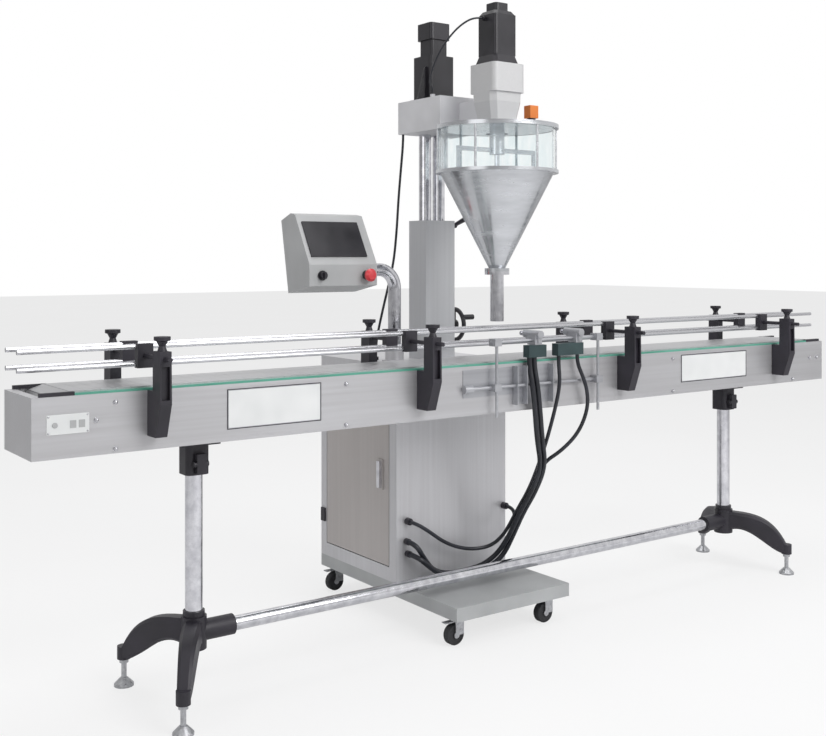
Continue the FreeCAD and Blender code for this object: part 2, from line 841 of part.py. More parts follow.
def gate_cylinder(x):
    """An air cylinder on a block that grips the top rod, with two elbow fittings."""
    barrel = rod("cylinder_radius", "cylinder_length", x, cylinder_start, piston_level, ALONG_Y)
    block = bar(28, 36, 30, x, f"{rod_y} + 2", "gate_bar_level - 14")
    fittings = [rod(6, 22, x, f"{cylinder_start} + {step}", f"{piston_level} - 26") for step in (10, 62)]
    bore = rod("rod_radius + running_gap", 40, f"{x} - 20", rod_y, "gate_bar_level", ALONG_X)
    seat = rod("4 + running_gap", "cylinder_length - 20", x, f"{cylinder_start} + 20", piston_level, ALONG_Y)
    return cut(fuse(barrel, cut(block, bore), *fittings), seat)


def manifold(x, length):
    """A valve block under the top rod, where the air hoses start."""
    return bar(length, "manifold_depth", "manifold_height", x, f"{front_face} - 19",
               "gate_bar_level - manifold_height - 14")


cylinders = [gate_cylinder(x) for x in ("piston_left", "piston_right")]
node("gate_cylinders", group(*cylinders, manifold("piston_left - 7", 70), manifold("piston_right - 40", 108)))


def gate_piston(x):
    """A cylinder's rod with its stop."""
    return fuse(rod(4, 68, x, f"{cylinder_start} + 22", piston_level, ALONG_Y),
                rod(7, 6, x, f"{cylinder_start} + 86", piston_level, ALONG_Y))


for hand in ("left", "right"):
    node(f"gate_piston_{hand}", gate_piston(f"piston_{hand}"))

# ---- wheeled cabinet ----

cabinet_x = "(cabinet_left + cabinet_width / 2)"
cabinet_y = "(cabinet_front + cabinet_depth / 2)"
side_depth = "(cabinet_depth - 2 * panel_wall)"
side_height = "(cabinet_height - 2 * panel_wall)"
platform_base = "(cabinet_base - platform_height)"
platform_depth = "(cabinet_front + cabinet_depth - platform_front)"
caster_x = [f"{cabinet_x} + {side} * (cabinet_width / 2 - caster_inset)" for side in (-1, 1)]
caster_y = ["(platform_front + caster_inset)", "(cabinet_front + cabinet_depth - caster_inset)"]
caster_places = [(x, y) for y in caster_y for x in caster_x]
king_radius = 6


def platform():
    """A folded tray, open below, with a boss and a plate over each caster."""
    wall = "sheet_wall"
    middle_y = f"(platform_front + {platform_depth} / 2)"
    tray = bar("cabinet_width", platform_depth, "platform_height", cabinet_x, middle_y, platform_base)
    hollow = bar(f"cabinet_width - 2 * {wall}", f"{platform_depth} - 2 * {wall}", f"platform_height - {wall}",
                 cabinet_x, middle_y, platform_base)
    pieces = [cut(tray, hollow)]
    bores = []
    for x, y in caster_places:
        pieces.append(bar(84, 84, 5, x, y, platform_base))
        pieces.append(rod(16, "platform_height - 1", x, y, platform_base))
        bores.append(rod(f"{king_radius} + running_gap", 24, x, y, platform_base))
    return cut(fuse(*pieces), *bores)


node("platform", platform())
door_y = "(cabinet_front + door_inset)"
door_z = "(cabinet_base + door_bottom)"
frame_depth = 20
pivot_inset = 6
pivot_radius = 3
pivot_x = f"(cabinet_left + {pivot_inset})"
pivot_y = f"({door_y} + door_width - door_gap - {pivot_inset})"
pivot_length = 9


def door_frame():
    """The frame round the door: two uprights between two rails, with a pivot hole above and below."""
    low = "(cabinet_base + panel_wall)"
    front = "(cabinet_front + panel_wall)"
    door_back = f"({door_y} + door_width)"
    door_top = f"({door_z} + door_height)"
    back_width = f"cabinet_front + cabinet_depth - panel_wall - {door_back}"
    holes = [rod(f"{pivot_radius} + running_gap", 20, pivot_x, pivot_y, level)
             for level in (f"{door_top} - 8", f"{door_z} - 12")]
    sill = box(frame_depth, "door_width", f"{door_z} - {low}", "cabinet_left", door_y, low)
    head = box(frame_depth, "door_width", f"{low} + {side_height} - {door_top}", "cabinet_left", door_y, door_top)
    return [box(frame_depth, f"{door_y} - {front}", side_height, "cabinet_left", front, low),
            box(frame_depth, back_width, side_height, "cabinet_left", door_back, low),
            cut(sill, holes[1]), cut(head, holes[0])]


def cabinet_panels():
    """The five plain sheets of the cabinet, the door's frame and the socket of the panel arm."""
    low = "cabinet_base + panel_wall"
    front = "cabinet_front + panel_wall"
    back = "cabinet_front + cabinet_depth - panel_wall"
    right = "cabinet_left + cabinet_width - panel_wall"
    corner = ("cabinet_left", "cabinet_front")
    floor = box("cabinet_width", "cabinet_depth", "panel_wall", *corner, "cabinet_base")
    top = box("cabinet_width", "cabinet_depth", "panel_wall", *corner, f"cabinet_top - panel_wall")
    front_sheet = box("cabinet_width", "panel_wall", side_height, *corner, low)
    back_sheet = box("cabinet_width", "panel_wall", side_height, "cabinet_left", back, low)
    right_sheet = box("panel_wall", side_depth, side_height, right, front, low)
    bore = "arm_radius + running_gap"
    socket = fuse(tube("arm_radius + 9", bore, 40, "arm_x", "arm_y", "cabinet_top"),
                  tube("arm_radius + 20", bore, 6, "arm_x", "arm_y", "cabinet_top"))
    return group(floor, top, front_sheet, back_sheet, right_sheet, *door_frame(), socket)


node("cabinet_panels", cabinet_panels())
handle_y = f"({door_y} + 46)"
handle_z = "(cabinet_base + handle_rise)"
skin = "panel_wall"
tray_depth = 15


def cabinet_door():
    """A tray-shaped door on two pivot pins, with the plate of its handle."""
    length = "(door_width - 2 * door_gap)"
    height = "(door_height - 2 * door_gap)"
    leaf = box(tray_depth, length, height, "cabinet_left", f"{door_y} + door_gap", f"{door_z} + door_gap")
    hollow = box(tray_depth, f"{length} - 2 * {skin}", f"{height} - 2 * {skin}", f"cabinet_left + {skin}",
                 f"{door_y} + door_gap + {skin}", f"{door_z} + door_gap + {skin}")
    block = [bar(12, 12, 12, pivot_x, pivot_y, level)
             for level in (f"{door_z} + door_gap", f"{door_z} + door_height - door_gap - 12")]
    pins = [rod(pivot_radius, pivot_length, pivot_x, pivot_y, level)
            for level in (f"{door_z} + door_height - door_gap - 2", f"{door_z} + door_gap + 2 - {pivot_length}")]
    plate = bar(4, 26, 96, "cabinet_left - 2", handle_y, f"{handle_z} - 48")
    hole = rod("5 + running_gap", 12, "cabinet_left - 6", handle_y, f"{handle_z} + 30", ALONG_X)
    return cut(fuse(cut(leaf, hollow), *block, *pins, plate), hole)


node("cabinet_door", cabinet_door())


def door_handle():
    """A flat lever that lies along its plate and turns on one spindle."""
    lever = bar(9, 16, 84, "cabinet_left - 8.8", handle_y, f"{handle_z} - 42")
    spindle = rod(5, 16, "cabinet_left - 10", handle_y, f"{handle_z} + 30", ALONG_X)
    return fuse(lever, spindle)


node("door_handle", door_handle())


def electrical_panel():
    """The mounting plate on the back wall, with the drives and rails it carries."""
    back = "cabinet_front + cabinet_depth - panel_wall"
    plate_base = "(cabinet_base + plate_inset)"
    plate_height = "(cabinet_height - plate_inset - 72)"
    plate = bar("plate_width", 3, plate_height, cabinet_x, f"{back} - 21.5", plate_base)
    posts = [rod(6, 20, f"{cabinet_x} + {side} * (plate_width / 2 - 20)", f"{back} - 20", level, ALONG_Y)
             for side in (-1, 1) for level in (f"{plate_base} + 20", f"{plate_base} + {plate_height} - 20")]
    drive_base = f"{plate_base} + {plate_height} - drive_height - 40"
    drives = [bar(width, "drive_depth", height, f"{cabinet_x} + {share} * plate_width", f"{back} - 78", level)
              for width, height, share, level in (
                  ("drive_width", "drive_height", -0.33, drive_base),
                  ("drive_width", "drive_height", -0.06, drive_base),
                  ("drive_width * 1.3", "drive_height * 0.7", 0.25, drive_base),
                  ("plate_width * 0.76", "drive_height * 0.35", 0, f"{plate_base} + {plate_height} * 0.31"))]
    return fuse(plate, *posts, *drives)


node("electrical_panel", electrical_panel())

# ---- casters ----

wheel_level = "wheel_radius"


def caster_fork(x, y):
    """A swivel head with a king pin, two cheeks, the axle and a brake tab."""
    axle_x = f"{x} - caster_trail"
    head = rod(22, 9, x, y, f"{platform_base} - 9.1")
    king = rod(king_radius, 20, x, y, f"{platform_base} - 2")
    cheeks = []
    for side in (-1, 1):
        middle = f"{y} + {side} * (wheel_width / 2 + 3)"
        cheek = bar(30, 3, f"{platform_base} - 6 - {wheel_level}", f"{x} - caster_trail / 2", middle, wheel_level)
        eye = rod(9, 3, axle_x, f"{middle} - 1.5", wheel_level, ALONG_Y)
        cheeks += [cheek, eye]
    bridge = bar(34, "wheel_width + 9", 4, f"{x} - caster_trail / 2", y, f"{platform_base} - 10")
    axle = rod("axle_radius", "wheel_width + 9", axle_x, f"{y} - wheel_width / 2 - 4.5", wheel_level, ALONG_Y)
    tab = bar(34, 20, 3, f"{axle_x} - 20", y, f"{platform_base} - 12")
    return fuse(head, king, *cheeks, bridge, axle, tab)


def caster_wheel(x, y):
    """A wheel with a rounded tread and a raised hub."""
    half = "wheel_width / 2"
    tread = "wheel_radius"
    profile = [("axle_radius + running_gap", f"-{half} - 1"), (9, f"-{half} - 1"), (9, f"2 - {half}"),
               (f"{tread} - 7", f"2 - {half}"), (f"{tread} - 6", f"-{half}"), (f"{tread} - 2", f"-{half}"),
               (tread, f"3 - {half}"), (tread, f"{half} - 3"), (f"{tread} - 2", half), (f"{tread} - 6", half),
               (f"{tread} - 7", f"{half} - 2"), (9, f"{half} - 2"), (9, f"{half} + 1"),
               ("axle_radius + running_gap", f"{half} + 1")]
    return turned(profile, f"{x} - caster_trail", y, wheel_level, ALONG_Y)


for number, (x, y) in enumerate(caster_places, start=1):
    node(f"caster_fork_{number}", caster_fork(x, y))
    node(f"caster_wheel_{number}", caster_wheel(x, y))

# ---- column and lift ----

column_mid_y = "(column_front + column_depth / 2)"
post_y = column_mid_y
head_x = "fill_x"
post_x = [f"{head_x} + {side} * post_spacing / 2" for side in (-1, 1)]


def column():
    """A square tube with a capped top bored for the posts, and the handwheel's bearing boss."""
    outer = bar("column_width", "column_depth", "column_height", head_x, column_mid_y, "cabinet_top")
    inner = bar("column_width - 2 * column_wall", "column_depth - 2 * column_wall", "column_height - 25",
                head_x, column_mid_y, "cabinet_top")
    bores = [rod("post_radius + running_gap", 60, x, post_y, "column_top - 40") for x in post_x]
    face = f"{head_x} + column_width / 2"
    boss = rod(18, 16, face, column_mid_y, "handwheel_level", ALONG_X)
    bearing_bore = rod("8 + running_gap", 30, f"{face} - 10", column_mid_y, "handwheel_level", ALONG_X)
    lever_boss = rod(11, 8, face, f"{column_mid_y} - 20", "column_top - 14", ALONG_X)
    lever_bore = rod("5 + running_gap", 20, f"{face} - 6", f"{column_mid_y} - 20", "column_top - 14", ALONG_X)
    shell = cut(outer, inner)
    return cut(fuse(shell, boss, lever_boss), *bores, bearing_bore, lever_bore)


node("column", column())


def handwheel():
    """A rim on three spokes, with a hub, a spindle and a turning grip."""
    face = f"{head_x} + column_width / 2"
    wheel_x = f"{face} + 36"
    rim = turned([(45, -3), (49, -7), (55, -7), (59, -3), (59, 3), (55, 7), (49, 7), (45, 3)],
                 wheel_x, column_mid_y, "handwheel_level", ALONG_X)
    hub = rod(16, 26, f"{face} + 16.3", column_mid_y, "handwheel_level", ALONG_X)
    spindle = rod(8, 30, f"{face} - 8", column_mid_y, "handwheel_level", ALONG_X)
    spokes = [rod(5, 52, wheel_x, column_mid_y, "handwheel_level", FreeCAD.Rotation(V(1, 0, 0), angle))
              for angle in (0, 120, 240)]
    grip = rod(9, 44, wheel_x, f"{column_mid_y} - 45", "handwheel_level + 26", ALONG_X)
    return fuse(rim, hub, spindle, *spokes, grip)


node("handwheel", handwheel())


def clamp_lever():
    """A tapered lever on a short screw that locks the posts."""
    face = f"{head_x} + column_width / 2"
    hub = rod(9, 18, f"{face} + 8.3", f"{column_mid_y} - 20", "column_top - 14", ALONG_X)
    screw = rod(5, 14, f"{face} - 4", f"{column_mid_y} - 20", "column_top - 14", ALONG_X)
    arm = cone(6, 8.5, 62, f"{face} + 19", f"{column_mid_y} - 20", "column_top - 14",
               FreeCAD.Rotation(V(1, 0, 0), 72))
    return fuse(hub, screw, arm)


node("clamp_lever", clamp_lever())
post_foot = "(cabinet_top + 100)"
mount_wall = 6
post_length = f"head_base - {mount_wall} - {post_foot}"
node("guide_posts", group(*[tube("post_radius", "post_radius - 3", post_length, x, post_y, post_foot) for x in post_x]))

# ---- head box and its drives ----

head_top = "(head_base + headbox_height)"


def head_box():
    """The folded housing over the posts, its mounting plate and the belt duct to the gear casing."""
    middle_y = "(headbox_front + headbox_depth / 2)"
    outer = bar("headbox_width", "headbox_depth", "headbox_height", head_x, middle_y, "head_base")
    inner = bar("headbox_width - 2 * sheet_wall", "headbox_depth - 2 * sheet_wall",
                "headbox_height - 2 * sheet_wall", head_x, middle_y, "head_base + sheet_wall")
    plate = bar("headbox_width", "headbox_depth + 14", mount_wall, head_x, f"{middle_y} - 7",
                f"head_base - {mount_wall}")
    duct_back = "headbox_front"
    duct_front = "(line_y + casing_depth / 2)"
    duct = box(60, f"{duct_back} - {duct_front}", 70, f"{head_x} - 30", duct_front, "head_base + 10")
    gland = rod(8, 12, f"{head_x} - 86", "headbox_front + 67", head_top)
    return fuse(cut(outer, inner), plate, duct, gland)


node("head_box", head_box())


def stirrer_motor():
    """The agitator's drive: a flanged reducer with gussets, and its motor with a squared cap."""
    spot = (head_x, "stirrer_y")
    flange = rounded_block("reducer_side + 18", "reducer_side + 18", 12, 6, *spot, head_top)
    reducer = rounded_block("reducer_side", "reducer_side", f"reducer_top - {head_top}", 10, *spot, head_top)
    motor = rounded_block("servo_side * 0.78", "servo_side * 0.78", "stirrer_shoulder - reducer_top", 9,
                          *spot, "reducer_top")
    cap = rounded_block("servo_side * 0.94", "servo_side * 0.94", "stirrer_top - stirrer_shoulder", 11,
                        *spot, "stirrer_shoulder")
    left = f"-(reducer_side / 2)"
    gusset = extruded([(left, 0), (f"{left} - 40", 0), (f"{left} - 34", 14), (f"{left} - 8", 112), (left, 118)],
                      "XZ_Plane", 8, head_x, "stirrer_y - reducer_side / 4", head_top)
    return fuse(flange, reducer, motor, cap, gusset)


node("stirrer_motor", stirrer_motor())


def lofted(stations, x, y):
    """A piece through rounded rectangles: (level, width, depth, corner) from the bottom up."""
    body = new_body(x, y, 0)
    sections = []
    for level, width, depth, corner in stations:
        sketch = new_sketch(body, "XY_Plane", level)
        sections.append(rounded_section(sketch, f"({width}) / 2", f"-({depth}) / 2", f"({depth}) / 2", corner))
    loft = body.newObject("PartDesign::AdditiveLoft", "Loft")
    loft.Profile = sections[0]
    loft.Sections = sections[1:]
    loft.Ruled = True
    return body


def gear_casing():
    """The cast casing over the lid: a tapered lower part under a square upper part, bored for both shafts."""
    lower = lofted([("lid_top", "casing_side * 0.74", "casing_depth * 0.8", 14),
                    ("casing_split - 30", "casing_side * 0.98", "casing_depth", 16),
                    ("casing_split", "casing_side", "casing_depth", 16)], head_x, "line_y")
    upper = rounded_block("casing_side", "casing_side", "casing_top - casing_split", 16,
                          head_x, "line_y", "casing_split")
    sleeve_bore = rod("sleeve_radius + running_gap", 22, head_x, "line_y", f"lid_top - 1")
    shaft_bore = rod("auger_core + running_gap", 50, head_x, "line_y", f"lid_top - 1")
    return cut(fuse(lower, upper), sleeve_bore, shaft_bore)


node("gear_casing", gear_casing())


def servo_motor():
    """The auger's servo: a flared skirt, a square body and a small cap."""
    skirt = lofted([("casing_top", "servo_side + 19", "servo_side + 19", 12),
                    ("servo_skirt", "servo_side", "servo_side", 9)], head_x, "line_y")
    motor = rounded_block("servo_side", "servo_side", "servo_shoulder - servo_skirt - 12", 9,
                          head_x, "line_y", "servo_skirt")
    shoulder = lofted([("servo_shoulder - 12", "servo_side", "servo_side", 9),
                       ("servo_shoulder", "servo_side - 16", "servo_side - 16", 9)], head_x, "line_y")
    cap = rounded_block(54, 54, "servo_top - servo_shoulder", 12, head_x, "line_y", "servo_shoulder")
    connector = rod(7, 12, f"{head_x} - servo_side / 2 - 12", "line_y + 7", "servo_shoulder - 23", ALONG_X)
    return fuse(skirt, motor, shoulder, cap, connector)


node("servo_motor", servo_motor())

# ---- hopper ----


def hopper_lid():
    """The lid with its feed inlet and the hole that the agitator's sleeve turns in."""
    disc = rod("lid_radius", "lid_wall", head_x, "line_y", "lid_base")
    inlet = rod("inlet_radius", "inlet_height", "inlet_x", "line_y + inlet_y", "lid_top")
    bore = rod("inlet_radius - 2", "inlet_height + lid_wall + 2", "inlet_x", "line_y + inlet_y", "lid_base - 1")
    shaft = rod("sleeve_radius + running_gap", "lid_wall + 2", head_x, "line_y", "lid_base - 1")
    return cut(fuse(disc, inlet), bore, shaft)


node("hopper_barrel", tube("barrel_radius", "barrel_radius - barrel_wall", "barrel_height",
                           head_x, "line_y", "barrel_base"))


def tie_rod(angle):
    reach = "(barrel_radius + 4.6)"
    return rod(4, "barrel_height", f"{head_x} + {reach} * cos({angle}deg)", f"line_y + {reach} * sin({angle}deg)",
               "barrel_base")


node("hopper_lid", group(hopper_lid(), *[tie_rod(angle) for angle in range(30, 390, 60)]))
flange_base = "(barrel_base - flange_wall)"


def hopper_cone():
    """The spun cone between its wide rim and the small flange of the dosing tube."""
    throat = "cone_throat_radius"
    return turned([(throat, "cone_base - flange_wall"), ("flange_radius", "cone_base - flange_wall"),
                   ("flange_radius", "cone_base"), (f"{throat} + cone_wall", "cone_base"),
                   ("cone_top_radius", flange_base), ("lid_radius", flange_base), ("lid_radius", "barrel_base"),
                   ("cone_top_radius - cone_wall", "barrel_base"), ("cone_top_radius - cone_wall", flange_base),
                   (throat, "cone_base")], head_x, "line_y", 0)


node("hopper_cone", hopper_cone())


def dosing_tube():
    top = "cone_base - flange_wall"
    bore = "tube_radius - tube_wall"
    return turned([(bore, "tube_base"), ("tube_radius", "tube_base"), ("tube_radius", f"{top} - flange_wall"),
                   ("flange_radius", f"{top} - flange_wall"), ("flange_radius", top), (bore, top)],
                  head_x, "line_y", 0)


node("dosing_tube", dosing_tube())


def level_sensor():
    """A capacitive level probe: its body on the lid and the probe rod inside."""
    x = "fill_x + 142"
    body = rod(14, 34, x, "line_y", "lid_top")
    head = bar(34, 30, 40, x, "line_y", f"lid_top + 34")
    return fuse(body, head)


node("level_sensor", level_sensor())

# ---- auger and agitator ----

auger_foot = "(tube_base + 4)"


def auger():
    """A screw in the dosing tube on a long shaft, with one helical flight."""
    body = new_body("fill_x", "line_y", 0)
    shaft_top = "lid_top + 46"
    revolve(body, [(0, auger_foot), ("auger_core", auger_foot), ("auger_core", shaft_top), (0, shaft_top)])
    sketch = new_sketch(body, "XZ_Plane")
    low = f"{auger_foot} + 2"
    high = f"{auger_foot} + 4.5"
    root = "auger_core - 1"
    polygon(sketch, [(root, low), ("auger_radius", low), ("auger_radius", high), (root, high)])
    flight = body.newObject("PartDesign::AdditiveHelix", "Flight")
    flight.Profile = sketch
    flight.ReferenceAxis = (sketch, ["V_Axis"])
    flight.Mode = 0
    bind(flight, Pitch="auger_pitch", Height="auger_pitch * auger_turns")
    return body


node("auger", auger())


def agitator():
    """A sleeve round the auger's shaft with two scraper arms that follow the cone."""
    wide = f"(cone_top_radius - cone_wall - blade_gap * 2)"
    low = f"{flange_base} - scraper_reach"
    taper = f"((cone_top_radius - cone_wall - cone_throat_radius) / ({flange_base} - cone_base))"
    foot = f"(cone_throat_radius + ({low} - cone_base) * {taper} - blade_gap * 2)"
    elbow = f"{flange_base} - 10"
    sleeve = tube("sleeve_radius", "auger_core + running_gap", "lid_top + 14 - sleeve_base",
                  head_x, "line_y", "sleeve_base")
    pieces = [sleeve]
    inside = f"{wide} - scraper_width"
    root = "auger_core + 4"
    for turn in (0, 180):
        arm = extruded([(root, "sleeve_base + 20"), (wide, "sleeve_base + 20"), (wide, elbow), (foot, low),
                        (f"{foot} - scraper_width + 2", low), (inside, elbow), (inside, "sleeve_base + 6"),
                        (root, "sleeve_base + 6")], "XZ_Plane", 6,
                       head_x, "line_y", 0, FreeCAD.Rotation(V(0, 0, 1), turn))
        pieces.append(arm)
    return fuse(*pieces)


node("agitator", agitator())

# ---- operator panel ----

selector_x = "(box_right - selector_inset)"
stop_x = "(box_right - stop_inset)"
button_level = "(arm_level - button_drop)"


def panel_arm():
    """A chromed tube: upright, bent over and level to the operator's box."""
    foot = "(cabinet_top + 2)"
    bend_base = "(arm_level - arm_bend)"
    upright = rod("arm_radius", f"{bend_base} - {foot}", "arm_x", "arm_y", foot)
    elbow = doc.addObject("Part::Torus", "Bend")
    bind(elbow, Radius1="arm_bend", Radius2="arm_radius", Angle3=90)
    place(elbow, "arm_x - arm_bend", "arm_y", bend_base, FreeCAD.Rotation(V(1, 0, 0), 90))
    level = rod("arm_radius", "arm_x - arm_bend - box_right", "box_right", "arm_y", "arm_level", ALONG_X)
    return fuse(upright, elbow, level)


node("panel_arm", panel_arm())

# The box's side outline, as offsets from the level part of its arm.
panel_profile = [(-80, -47), (-80, 18), (8, 171), (35, 176), (94, 155), (49, -71)]
panel_middle = (7, 55)
panel_slope = math.degrees(math.atan2(171 - 18, 8 + 80))
panel_shrink = 0.95


def panel_outline(share):
    """The box's outline, drawn in towards its middle by a share."""
    middle_y, middle_z = panel_middle
    return [(f"arm_y + {middle_y + share * (y - middle_y)}", f"arm_level + {middle_z + share * (z - middle_z)}")
            for y, z in panel_profile]


def panel_box():
    """The operator's box: a wedge of folded sheet with holes for its buttons."""
    middle_x = "box_right - box_width / 2"
    outer = extruded(panel_outline(1), "YZ_Plane", "box_width", middle_x, 0, 0)
    hollow = extruded(panel_outline(panel_shrink), "YZ_Plane", "box_width - 6", middle_x, 0, 0)
    holes = [rod(f"{radius} + running_gap", 12, x, "arm_y - 84", button_level, ALONG_Y)
             for x, radius in ((selector_x, 6), (stop_x, 8))]
    return cut(outer, hollow, *holes)


node("panel_box", panel_box())


def touch_screen():
    """The screen's bezel, flat on the sloping face."""
    return box("screen_width", "screen_height", 5, "box_right - screen_width - 30", "arm_y - 67.06",
               "arm_level + 40.64", FreeCAD.Rotation(V(1, 0, 0), panel_slope))


def button_ring(x, bore, length):
    """The fixed ring round a button, on the box's front."""
    return tube(15, f"{bore} + running_gap", length, x, f"arm_y - 80 - {length}", button_level, ALONG_Y)


def stop_button():
    """A mushroom head on its stem, over the fixed ring."""
    head = turned([(0, 0), (20, 0), (20, 6), (14, 13), (0, 15)], stop_x, "arm_y - 102", button_level,
                  FreeCAD.Rotation(V(1, 0, 0), 90))
    return fuse(head, rod(8, 24, stop_x, "arm_y - 102", button_level, ALONG_Y))


def selector():
    """A round turning switch with a finger bar across it."""
    return fuse(rod(11, 10, selector_x, "arm_y - 95.3", button_level, ALONG_Y),
                bar(7, 8, 20, selector_x, "arm_y - 99", f"{button_level} - 10"),
                rod(6, 14, selector_x, "arm_y - 88", button_level, ALONG_Y))


node("stop_button", stop_button())
node("panel_fittings", group(touch_screen(), button_ring(stop_x, 8, 12), button_ring(selector_x, 6, 5)))
node("selector", selector())

# ---- hoses and cables ----

glands = {"left": (-243, 311, 11), "right": (151, 310, 11), "upper": (-247, 248, 10), "lower": (-243, 209, 10)}


def cabinet_glands():
    """The glands and push-in fittings on the cabinet's front, and the inlet socket by the door."""
    pieces = [rod(radius, "gland_length", x, "cabinet_front - gland_length", z, ALONG_Y)
              for x, z, radius in glands.values()]
    pieces.append(box(5, 25, 45, "cabinet_left - 5", "cabinet_front + cabinet_depth - 29", "cabinet_base + 115"))
    pieces.append(rod(9, 10, -225, 178, "cabinet_top"))
    return group(*pieces)


node("cabinet_glands", cabinet_glands())


def path_edges(points):
    """Straight runs joined by tangent arcs, each arc as large as its two runs allow."""
    corners = [V(*point) for point in points]
    edges = []
    start = corners[0]
    for before, corner, after in zip(corners, corners[1:], corners[2:]):
        into = (corner - before).normalize()
        out = (after - corner).normalize()
        half_turn = into.getAngle(out) / 2
        reach = 0.45 * min((corner - before).Length, (after - corner).Length)
        radius = reach / math.tan(half_turn)
        toward = (out - into).normalize()
        first = corner - into * reach
        last = corner + out * reach
        middle = corner + toward * (radius / math.cos(half_turn) - radius)
        edges.append(Part.LineSegment(start, first).toShape())
        edges.append(Part.Arc(first, middle, last).toShape())
        start = last
        print(f"  bend radius {radius:.0f}")
    edges.append(Part.LineSegment(start, corners[-1]).toShape())
    return edges


def cord(label, radius, points):
    """A round cord swept along its path, checked against its section times its length."""
    print(label)
    wire = Part.Wire(path_edges(points))
    direction = V(*points[1]) - V(*points[0])
    section = Part.Wire(Part.makeCircle(radius, V(*points[0]), direction))
    shape = wire.makePipeShell([section], True, False)
    expected = math.pi * radius ** 2 * wire.Length
    if abs(shape.Volume / expected - 1) > 0.01:
        raise RuntimeError(f"{label} has volume {shape.Volume:.0f}, not {expected:.0f}")
    item = doc.addObject("Part::Feature", "Cord")
    item.Shape = shape
    node(label, item)


air_hose_main = [(-9, -338, 836), (-9, -338, 808), (-7, -349, 755), (4, -347, 690), (36, -322, 580),
                 (95.5, -276, 484), (91.5, -234, 397), (81.5, -186, 322), (73.5, -146, 242), (55, -105, 175),
                 (10, -74, 138), (-60, -58, 130), (-115, -54, 131), (-170, -58, 154), (-212, -72, 200),
                 (-247, -78, 248), (-247, -42, 248)]
air_hose_second = [(10, -338, 836), (10, -338, 808), (13, -349, 755), (24, -347, 690), (57, -322, 580),
                   (112.5, -276, 484), (108.5, -234, 397), (98.5, -186, 322), (90.5, -146, 242), (75, -118, 175),
                   (30, -99, 137), (-40, -90, 130), (-100, -86, 131), (-160, -86, 143), (-205, -90, 176),
                   (-243, -84, 209), (-243, -42, 209)]
air_hose_middle = [(111, -338, 836), (111, -338, 808), (108, -348, 755), (97, -344, 690), (93, -308, 580),
                   (97, -263, 490), (93, -221, 403), (83, -173, 328), (72, -130, 250), (50, -92, 205),
                   (0, -72, 196), (-60, -64, 206), (-125, -62, 234), (-190, -66, 280), (-243, -80, 311),
                   (-243, -42, 311)]
air_hose_right = [(190, -338, 836), (190, -338, 808), (206, -348, 765), (228, -346, 715), (236, -337, 655),
                  (214, -320, 585), (165, -296, 530), (111, -263, 490), (107, -221, 403), (97, -173, 328),
                  (100, -128, 262), (121, -100, 238), (143, -90, 264), (151, -84, 310), (151, -42, 310)]
servo_cable = [(-87.5, -205, 1880), (-104, -205, 1880), (-130, -190, 1872), (-150, -150, 1845),
               (-165, -100, 1795), (-163, -50, 1740), (-145, -10, 1700), (-118, 8, 1690), (-118, 8, 1667)]
head_cable = [(-128, 160, 1549), (-128, 160, 1520), (-133, 165, 1440), (-140, 170, 1335), (-146, 172, 1225),
              (-157, 175, 1115), (-187, 178, 1005), (-213, 178, 910), (-225, 178, 855), (-225, 178, 812)]
cord("air_hose_main", size("hose_radius"), air_hose_main)
cord("air_hose_second", size("hose_radius"), air_hose_second)
cord("air_hose_middle", size("slim_hose_radius"), air_hose_middle)
cord("air_hose_right", size("slim_hose_radius"), air_hose_right)
cord("servo_cable", size("thin_cable_radius"), servo_cable)
cord("head_cable", size("cable_radius"), head_cable)

# ---- check and export ----

doc.recompute()
failed = [item.Label for item in doc.Objects if "Invalid" in item.State or "Error" in item.State]
failed += [label for label, item in nodes.items()
           if item.Shape.isNull() or not item.Shape.isValid() or not item.Shape.Solids]
if failed:
    raise RuntimeError(f"These failed: {failed}")

os.makedirs("parts", exist_ok=True)
for label, item in nodes.items():
    item.Shape.exportStep(f"parts/{label}.step")
print(len(nodes), "sub-parts written")
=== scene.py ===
# %% [markdown]
# # An auger powder filler and its slat-chain conveyor
# This lesson dresses a machine that doses powder from a hopper into containers on a conveyor.
# The solids come from the CAD frame, so nothing here changes a size: we give every solid its
# finish, and we add the small things that a sheet-metal shop would bolt, press or stick on.

import math

import bmesh
import bpy
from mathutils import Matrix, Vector


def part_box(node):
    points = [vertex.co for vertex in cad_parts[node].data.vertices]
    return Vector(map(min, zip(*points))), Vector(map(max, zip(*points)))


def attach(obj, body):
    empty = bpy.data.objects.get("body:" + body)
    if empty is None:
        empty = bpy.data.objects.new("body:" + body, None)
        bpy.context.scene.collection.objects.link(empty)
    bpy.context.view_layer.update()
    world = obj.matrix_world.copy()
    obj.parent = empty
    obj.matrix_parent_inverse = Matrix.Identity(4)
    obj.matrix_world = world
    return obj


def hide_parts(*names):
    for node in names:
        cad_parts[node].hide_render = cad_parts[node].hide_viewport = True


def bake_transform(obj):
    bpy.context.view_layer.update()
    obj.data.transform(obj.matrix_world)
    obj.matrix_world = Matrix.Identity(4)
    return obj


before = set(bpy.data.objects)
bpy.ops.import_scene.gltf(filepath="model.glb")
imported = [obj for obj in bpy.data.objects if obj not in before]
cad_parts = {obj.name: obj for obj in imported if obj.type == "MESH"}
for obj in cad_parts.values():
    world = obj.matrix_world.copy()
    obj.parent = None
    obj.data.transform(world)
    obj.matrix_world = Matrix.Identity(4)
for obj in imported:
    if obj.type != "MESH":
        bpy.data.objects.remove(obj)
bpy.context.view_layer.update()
MM = 0.001

# %% [markdown]
# ## Camera
# A camera is a lens and a place. A long lens a few metres away keeps the conveyor's far end
# from shrinking too much, and a lens shift moves the picture down without tilting the camera,
# so that the column and the legs stay upright. That is how a product photographer works.

